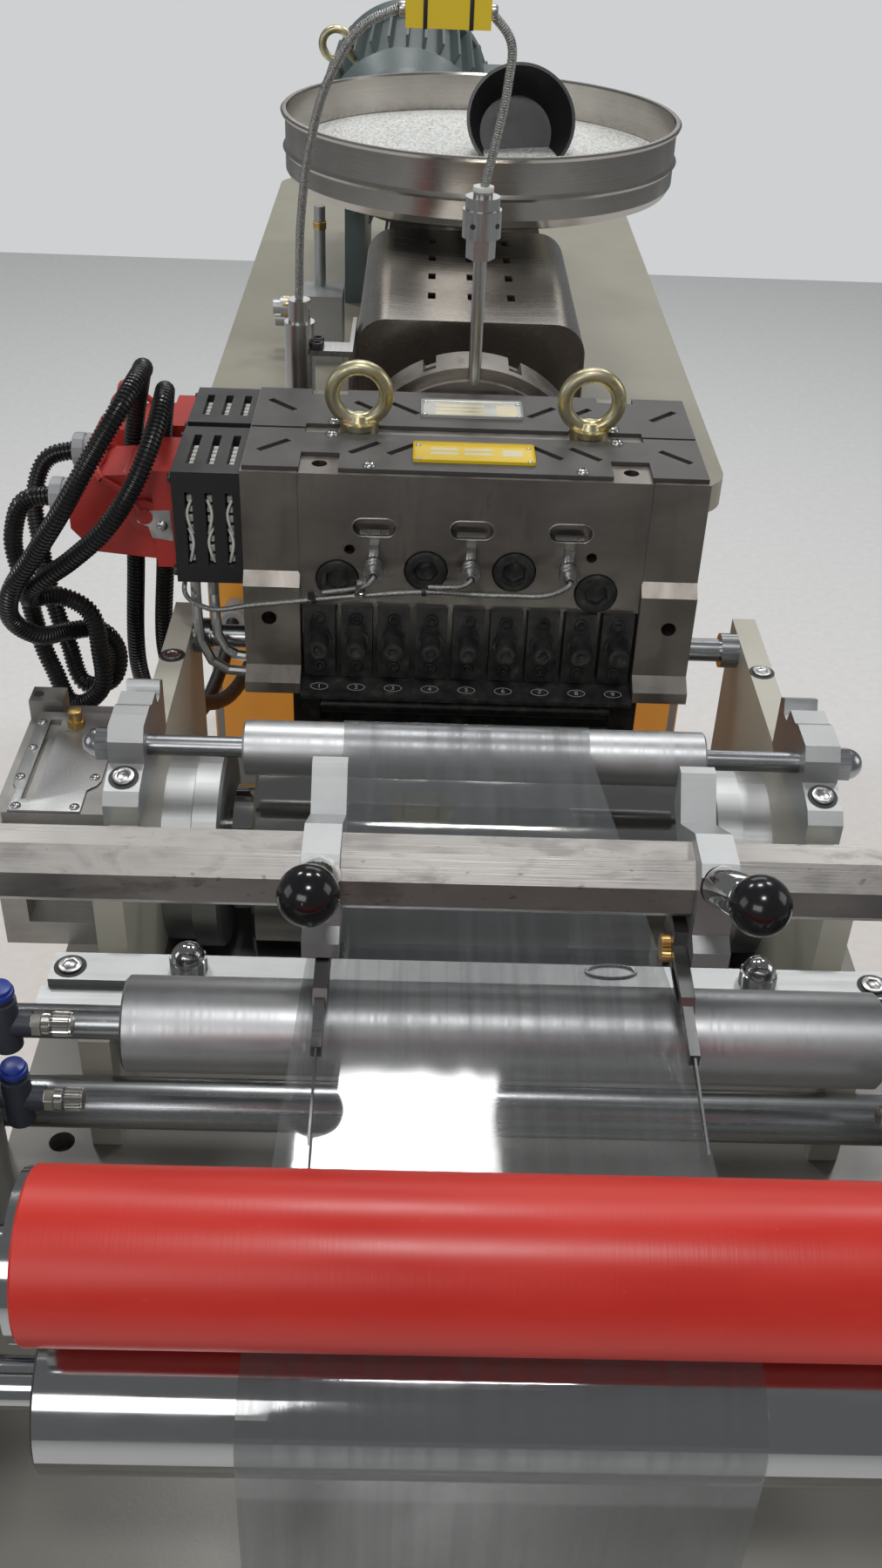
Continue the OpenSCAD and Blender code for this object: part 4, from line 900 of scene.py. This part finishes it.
# %% Dome nuts and knob hubs
dome_nut = drum(20.8, 8.4, 6)
soften(dome_nut, 0.8)
bpy.ops.mesh.primitive_uv_sphere_add(segments=36, ring_count=20, radius=mm(8.9),
                                     location=(0, 0, mm(7.6)))
dome_ball = bpy.context.active_object
apply_now(location=True)
set_out(
    join_pieces([dome_nut, dome_ball]),
    [spot(sx * 150, -296.5, -150) for sx in (-1, 1)],
    "beam_dome_nuts", polished_steel)

for side, x, lean in (("left", -75, -3), ("right", 102, 12)):
    hub = drum(19.8, 21.5, 48, 2)
    neck = drum(16, 2, 48, 23.5)
    set_out(
        join_pieces([soften(hub, 0.8), neck]),
        [facing(at(x, -365.5, -28.5), Vector((lean, -29, 12.5)))],
        f"knob_hub_{side}", chrome, f"{side}_knife")


# %% [markdown]
# A knurled part is a cylinder whose rim points are pulled out and in by turns.

# %% Knurled thumb screws
def knurled(diameter, height, ridges, depth=0.5, low=0.0):
    """A cylinder with ridges along it, its edges softened by a small step."""
    parts = []
    for size, start, tall in ((0.94, 0, 0.12), (1.0, 0.12, 0.76), (0.94, 0.88, 0.12)):
        ring = drum(diameter * size, height * tall, ridges * 2, low + height * start)
        for vertex in ring.data.vertices:
            turn = round(math.atan2(vertex.co.y, vertex.co.x) / (math.pi / ridges))
            if turn % 2:
                shrink = 1 - 2 * depth / diameter
                vertex.co.x *= shrink
                vertex.co.y *= shrink
        parts.append(ring)
    return join_pieces(parts)


for side, x in (("left", -79.25), ("right", 85)):
    set_out(
        knurled(13.4, 4.6, 24, 0.6, -2.3),
        [facing(at(x, -355, -75.5), LEFT)],
        f"thumb_screw_{side}", brass, f"{side}_knife", smooth=None)

# %% Flow control valves on the air cylinders
nickel = chrome_finish("nickel", (0.56, 0.54, 0.49), 0.2)
collar_blue = painted("collar_blue", (0.015, 0.04, 0.26), 0.35, 800, 0.05)
valve_parts, collars = [], []
for sx in (-1, 1):
    for z in (-68, -114):
        foot = facing(at(sx * 206, -422, z), (-sx, 0, 0))
        collars.append(spot(sx * 206, -422, z))
        valve_parts += stand(
            foot, soften(drum(10.9, 6.4, 6, 9.8), 0.3), knurled(9.4, 3.4, 16, 0.3, 16.2),
            drum(7.9, 1.2, 24, 19.3), knurled(10.8, 8.6, 20, 0.5, 20.2))
finish_piece(join_pieces(valve_parts), "valve_screws", nickel, smooth=None)
ring = soften(drum(12.6, 3.2, 40, 15.8), 0.8)
release = soften(drum(10.8, 2.4, 40, 18.4), 0.5)
set_out(join_pieces([ring, release]), collars, "valve_collars", collar_blue)
print("valves:", len(collars))

# %% Wire loop on the beam
bpy.ops.mesh.primitive_torus_add(
    major_radius=mm(9), minor_radius=mm(0.8), major_segments=48, minor_segments=10)
loop = bpy.context.active_object
for vertex in loop.data.vertices:
    vertex.co.x *= 1.45
    vertex.co.y *= 0.55
    vertex.co.x += 0.15 * vertex.co.y
set_out(loop, [spot(73, -291.5, -149.2)], "wire_loop", bright_steel)

# %% [markdown]
# ## Drive unit of the chill roll
# Its lid is a stepped plate with a broken edge, held by small dome screws, and a brass
# nipple stands in its back corner.

# %% Lid of the drive unit
def flat_plate(outline, thick, edge=0.4):
    """A plate from its outline, drawn flat and pulled up. Sizes in millimetres."""
    mesh = bpy.data.meshes.new("plate")
    mesh.from_pydata([mm(x, y, 0.0) for x, y in outline], [], [range(len(outline))])
    plate = bpy.data.objects.new("plate", mesh)
    bpy.context.scene.collection.objects.link(plate)
    select_only(plate)
    edit_all("SELECT")
    bpy.ops.mesh.extrude_region_move(TRANSFORM_OT_translate={"value": (0, 0, mm(thick))})
    bpy.ops.mesh.select_all(action="SELECT")
    bpy.ops.mesh.normals_make_consistent(inside=False)
    bpy.ops.object.mode_set(mode="OBJECT")
    return soften(plate, edge)


cast_aluminium = painted("cast_aluminium", (0.34, 0.345, 0.34), 0.42, 900, 0.25, 0.08, 0.2,
                         metallic=0.85)
lid = flat_plate([(-279.5, -55), (-226, -55), (-226, -131), (-228, -136), (-233, -141),
                  (-233, -163.5), (-276.5, -163.5), (-276.5, -141), (-279, -136),
                  (-279.5, -131)], 1.4)
groove = slab(7.6, 88, 5, (-267, -108, 1))
set_out(cut(lid, groove), [spot(0, 0, -150)], "drive_lid", cast_aluminium)
# Three thin black discs stand for open holes: painted shade of the holes.
set_out(
    drum(6.6, 0.2, 32),
    [spot(x, y, z) for x, y, z in (
        (-283, -41, -144), (-216, -147, -150), (-216, -41, -144))],
    "drive_hole_shade_discs", box_black)
set_out(
    dome_screw(6.4, 2),
    [spot(x, y, -148.7) @ Matrix.Rotation(spin(), 4, "Z") for x, y in (
        (-276, -129), (-230.5, -128), (-272, -159), (-237, -159), (-275.5, -68), (-231, -68),
        (-275.5, -97))],
    "drive_screws", bright_steel)
nipple = [soften(drum(12, 5, 6), 0.5), drum(8, 5, 32, 5), soften(drum(10, 3, 6, 9), 0.4)]
set_out(join_pieces(nipple), [spot(-253, -70, -149)], "drive_nipple", brass)

# %% [markdown]
# ## Left end of the die
# White terminals and wires show through the slots of the boxes. The red connectors have
# round hinge bosses, a locking lever and a sheet steel latch with one screw.

# %% Terminals and wires in the boxes
ceramic = painted("ceramic_white", (0.6, 0.59, 0.55), 0.4, 900, 0.15, 0.1, 0.3)
terminal_parts = []
for span in ((5, 80), (88, 152)):
    for k in range(3):
        x = -183.5 + 13 * k
        y = span[0] + 18
        while y < span[1] - 18:
            terminal_parts.append(slab(4.2, 4.6, 5, (x, y, -10.5)))
            y += 6.5
for k in range(3):
    for z in range(-66, -20, 7):
        terminal_parts.append(slab(3.6, 4, 4.6, (-183.5 + 13 * k, 11, z)))
terminals = soften(join_pieces(terminal_parts), 0.5, 1)
set_out(terminals, [spot(0, 0, 0)], "terminals", ceramic)
wires = []
for k in range(3):
    x = -183.5 + 13 * k
    for j, top in enumerate((-24, -44)):
        bow = 1.5 if (j + k) % 2 else -1.5
        wires.append(round_tube(smooth_line([
            at(x - bow, 8.5, top), at(x + bow, 6.6, top - 8), at(x + bow * 0.4, 6.4, top - 16),
            at(x - bow, 8.5, top - 24)], 0.002), 0.0021, 2))
finish_piece(join_pieces(wires), "terminal_wires", ceramic, smooth=50)
set_out(
    cap_screw(7, 2.6, 3.5, 0.4),
    [facing(at(-194, y, z), LEFT, spin()) for y in (10, 75, 93, 147) for z in (-10, -76)],
    "box_screws", black_oxide)

# %% Levers and latches of the red connectors
for name, y, lift in (("front", 42, 0.0), ("rear", 118, 1.0)):
    parts = []
    for side in (-1, 1):
        parts += stand(
            facing(at(-214, y + side * 24, -40), (0, side, 0)),
            soften(drum(22, 3.4, 48), 0.8), soften(drum(11, 5, 36), 0.8))
        arm = round_tube(smooth_line([
            at(-214, y + side * 26, -40), at(-226, y + side * 26, -24 + 10 * lift),
            at(-240, y + side * 26, -16 + 14 * lift)], 0.004), 0.0045, 3)
        parts.append(arm)
    parts.append(round_tube(smooth_line([
        at(-240, y - 26, -16 + 14 * lift), at(-243, y - 23, -13 + 14 * lift),
        at(-244, y, -11.5 + 14 * lift), at(-243, y + 23, -13 + 14 * lift),
        at(-240, y + 26, -16 + 14 * lift)], 0.004), 0.0055, 3))
    for x in (-226, -212):
        parts.append(soften(slab(3, 40, 2, tuple(v * 1000 for v in at(x, y, -14))), 0.6))
    finish_piece(join_pieces(parts), f"connector_lever_{name}", connector_red)
    latch = flat_plate([(-219, -36), (-197, -35), (-196, -57), (-210, -55), (-212, -47),
                        (-219, -44)], 1.0, 0.3)
    set_out(
        latch, [spot(0, y - 27.5, 0) @ Matrix.Rotation(math.pi / 2, 4, "X")],
        f"connector_latch_{name}", bright_steel)
    set_out(
        dome_screw(7.5, 2.4), [facing(at(-203, y - 28.4, -46), FRONT, spin())],
        f"latch_screw_{name}", bright_steel)

# %% Hexagons of the glands
gland_parts = []
for place, way in ((at(-264, 42, -40), LEFT), (at(-264, 118, -40), LEFT),
                   (at(-216, 432, -345), FRONT), (at(-188, 432, -345), FRONT)):
    gland_parts += stand(
        facing(place, way), soften(drum(27, 6, 6, 0.2), 0.7), soften(drum(25.4, 8, 12, 7.6), 0.8))
finish_piece(join_pieces(gland_parts), "gland_nuts", gland_grey, smooth=20)

# %% [markdown]
# ## Thermocouples
# Each has a bayonet cap with a slotted collar, and the leads are tied together in two
# places and pass through one crimped ferrule.

# %% Caps, ties and ferrule
cap_parts = []
for x in (-64, -1, 63):
    cap_parts += stand(facing(at(x, 0, -61), FRONT), *(
        knurled(size, tall, 24, 0.25, low)
        for size, tall, low in ((11.4, 3.2, -5.5), (13.2, 2.4, 6.2), (13.2, 2.2, 11.4))))
    cap_parts.append(
        ribbed_tube([at(x, -14, -61), at(x, -20, -61)], 0.0062, 0.0015, 0.0008))
finish_piece(join_pieces(cap_parts), "thermocouple_caps", polished_steel, smooth=30)


def sleeve_on(line, place, diameter, length, sides=24):
    """A short tube round a cable at the point of its line that is nearest the place."""
    near = min(range(1, len(line) - 1), key=lambda i: (line[i] - place).length)
    part = drum(diameter, length, sides, -length / 2)
    part.matrix_world = facing(line[near], line[near + 1] - line[near - 1])
    return part


ties = [sleeve_on(lead_right, at(x, -16, -75), 5.6, 3) for x in (-104, -32)]
ties.append(slab(4, 2.4, 6))
ties[-1].matrix_world = spot(-104, -19.5, -76)
finish_piece(join_pieces(ties), "lead_ties", box_black)
ferrule = soften(slab(6.5, 3.6, 11), 0.8)
ferrule.matrix_world = spot(-72, -19.6, -70) @ Matrix.Rotation(0.12, 4, "Y")
finish_piece(ferrule, "lead_ferrule", polished_steel)

# %% Bright rims on the die's slots: painted highlight
# A thin rim follows each slot's chamfer and a strip lies on its floor, both in bright steel,
# brighter than the die steel: painted highlight on the slot edges.
frames = []
for x in (-64, -1, 63):
    line = [at(x + 8 + 6.4 * math.sin(a), -0.2, -36 + 6.4 * math.cos(a))
            for a in [math.pi * i / 10 for i in range(11)]]
    line += [at(x - 8 - 6.4 * math.sin(a), -0.2, -36 - 6.4 * math.cos(a))
             for a in [math.pi * i / 10 for i in range(11)]]
    frames.append(round_tube(line + line[:1], 0.0009, 2))
    floor_highlight_strip = slab(19, 3, 2.2, tuple(v * 1000 for v in at(x, 2.6, -40.4)))
    frames.append(floor_highlight_strip)
finish_piece(join_pieces(frames), "slot_highlight_rims", bright_steel)

# %% [markdown]
# ## Barrel, hopper and sensors

# %% Probe head, connector bands and water fittings
probe_hex_z, probe_ring_rise = 95, 43
white_ring = soften(drum(14, 3.4, 40, probe_ring_rise), 0.5)
set_out(white_ring, [spot(1, 146, probe_hex_z)], "probe_ring", ceramic)
pins = [facing(at(1 + 13 * math.sin(a), 146 - 13 * math.cos(a), 118),
               (math.sin(a), -math.cos(a), 0)) for a in (-0.5, 0.9, 2.4)]
set_out(cap_screw(3.6, 0.4, 1.8, 0.1), pins, "probe_set_screws", black_oxide)

bands = []
for x in (-40, -12):
    band = slab(2.6, 21, 19)
    band.matrix_world = spot(x, 132, 246)
    bands.append(soften(band, 0.5))
finish_piece(join_pieces(bands), "connector_bands", box_black)
hub = soften(drum(9, 5, 36), 0.6)
set_out(hub, [facing(at(-1, 132, 246), RIGHT), facing(at(-51, 132, 246), LEFT)],
        "connector_hubs", bright_steel)

water = []
for place, way, size in ((at(-181, 758, -140), LEFT, 24), (at(-170, 778, -160), LEFT, 19),
                         (at(-150, 780, -62), UP, 16)):
    water += stand(facing(place, way), soften(drum(size, 8, 6), 0.7))
finish_piece(join_pieces(water), "water_nuts", brass)
set_out(
    cap_screw(9, 5, 4.5, 0.5),
    [facing(at(x, 191, z), BACK, spin()) for x, z in (
        (-62, -60), (62, -60), (-62, -150), (62, -150))] +
    [spot(-113, 200 + s, 12) for s in (-5.5, 5.5)],
    "clamp_screws", black_oxide)

# %% [markdown]
# ## Dressing the CAD pieces
# One table says which finish each CAD node wears. The node keeps its mesh and its place.

# %% Give every node its finish
wears = {
    cabinet_grey: ["extruder_cabinet", "takeoff_cabinet"],
    orange_paint: ["orange_panels"],
    table_cream: ["table_top"],
    cream_paint: ["side_frames"],
    plate_grey: ["takeoff_plate"],
    worn_aluminium: ["roll_drive"],
    knife_steel: ["blade_arm_left", "blade_arm_right"],
    satin_aluminium: ["cross_beams", "outer_plates", "roller_brackets", "roll_housings",
                      "knife_holder_left", "knife_holder_right", "air_cylinders",
                      "water_block"],
    shaft_steel: ["fixed_shafts"],
    roller_aluminium: ["top_guide_roller", "wide_guide_roller"],
    roll_chrome: ["chill_roll"],
    polished_steel: ["front_steel_roller", "red_roller_core"],
    milled_aluminium: ["knife_bar"],
    knob_black: ["clamp_knob_left", "clamp_knob_right"],
    rubber_red: ["red_roller"],
    fitting_dark: ["air_fittings"],
    film_clear: ["film_web"],
    die_steel: ["die_body", "die_end_plates", "barrel_clamp", "barrel"],
    cover_dark: ["die_top_cover"],
    yellow_zinc: ["lifting_eyes"],
    black_oxide: ["lip_adjusters", "number_strip", "die_lips"],
    bright_steel: ["thermocouples", "heater_tubes", "melt_probe", "pressure_sensor"],
    box_black: ["terminal_boxes"],
    connector_red: ["red_connectors"],
    gland_grey: ["connector_glands"],
    conduit_black: ["conduit_front", "conduit_rear"],
    braid: ["thermo_lead_left", "thermo_lead_middle", "thermo_lead_right",
            "probe_conduit", "sensor_cable"],
    spun_steel: ["hopper_pan", "barrel_cover"],
    pellet_white: ["pellets"],
    cup_black: ["hopper_cup"],
    machine_green: ["gearbox", "drive_motor"],
    yellow_plastic: ["yellow_connector"],
}
for finish, names in wears.items():
    for name in names:
        mesh = nodes[name].data
        mesh.materials.clear()
        mesh.materials.append(finish)
bare = sorted(set(nodes) - {n for names in wears.values() for n in names})
print("nodes without a finish:", bare)

# %% [markdown]
# ## Floor and light
# A pale floor, and four small panels under the ceiling as a workshop has them. The first
# stands where the film between the wide roller and the front roller mirrors it to the
# camera, which gives the bright patch on the film. Weak broad lights fill the sides.

# %% Floor and light
floor_size, floor_drop = 8.0, 0.0005
select_only(camera)
bpy.ops.mesh.primitive_plane_add(size=floor_size, location=(0, -0.6, -floor_drop))
floor = bpy.context.active_object
floor.name = "floor"
floor_finish = Finish("pale_floor", (0.8, 0.8, 0.79), 0.0, 0.6)
floor_speckle = floor_finish.noise(floor_finish.coords(), 60, 3)
floor_finish.feed(Base_Color=floor_finish.ramp(
    floor_speckle, (0.3, (0.77, 0.77, 0.76)), (0.7, (0.82, 0.82, 0.81))))
floor.data.materials.append(floor_finish.material)


def soft_light(name, place, target, width, length, power):
    lamp = bpy.data.lights.new(name, "AREA")
    lamp.shape = "RECTANGLE"
    lamp.size, lamp.size_y = width, length
    lamp.energy = power
    holder = bpy.data.objects.new(name, lamp)
    direction = Vector(target) - Vector(place)
    holder.matrix_world = Matrix.Translation(place) @ direction.to_track_quat(
        "-Z", "Y").to_matrix().to_4x4()
    bpy.context.scene.collection.objects.link(holder)


middle = (0, -1.2, 1.0)
ceiling, panel_width, panel_length, panel_power = 3.6, 0.46, 0.36, 20
for k, (x, y) in enumerate(((-0.04, 0.1), (-1.4, 0.9), (1.4, 0.9), (0.1, -2.4))):
    soft_light(f"panel_{k}", (x, y, ceiling), (x, y, 0), panel_width, panel_length, panel_power)
soft_light("front_fill", (-0.9, -3.4, 2.3), (0, -0.9, 1.1), 1.4, 0.8, 12)
soft_light("left_fill", (-2.8, -1.6, 2.0), middle, 1.4, 1.4, 9)
soft_light("right_fill", (2.8, -1.0, 2.2), middle, 1.4, 1.4, 10)
soft_light("behind", (0.4, 2.6, 2.6), (0, -0.6, 1.0), 2.0, 1.0, 10)

# %% [markdown]
# The world lights the matt surfaces softly. What mirrors it sees a darker room, so the
# chrome and the film keep their contrast, and the camera sees a pale backdrop.

# %% World
world = bpy.data.worlds.new("studio")
bpy.context.scene.world = world
world.use_nodes = True
tree = world.node_tree
background = tree.nodes["Background"]
background.inputs["Strength"].default_value = 1
ray = tree.nodes.new("ShaderNodeLightPath")
room_light, mirrored_room, backdrop = (0.3, 0.31, 0.32), (0.16, 0.165, 0.17), (0.62, 0.63, 0.64)
seen = mix_colours(tree, ray.outputs["Is Glossy Ray"], room_light, mirrored_room)
seen = mix_colours(tree, ray.outputs["Is Camera Ray"], seen, backdrop)
tree.links.new(seen, background.inputs["Color"])
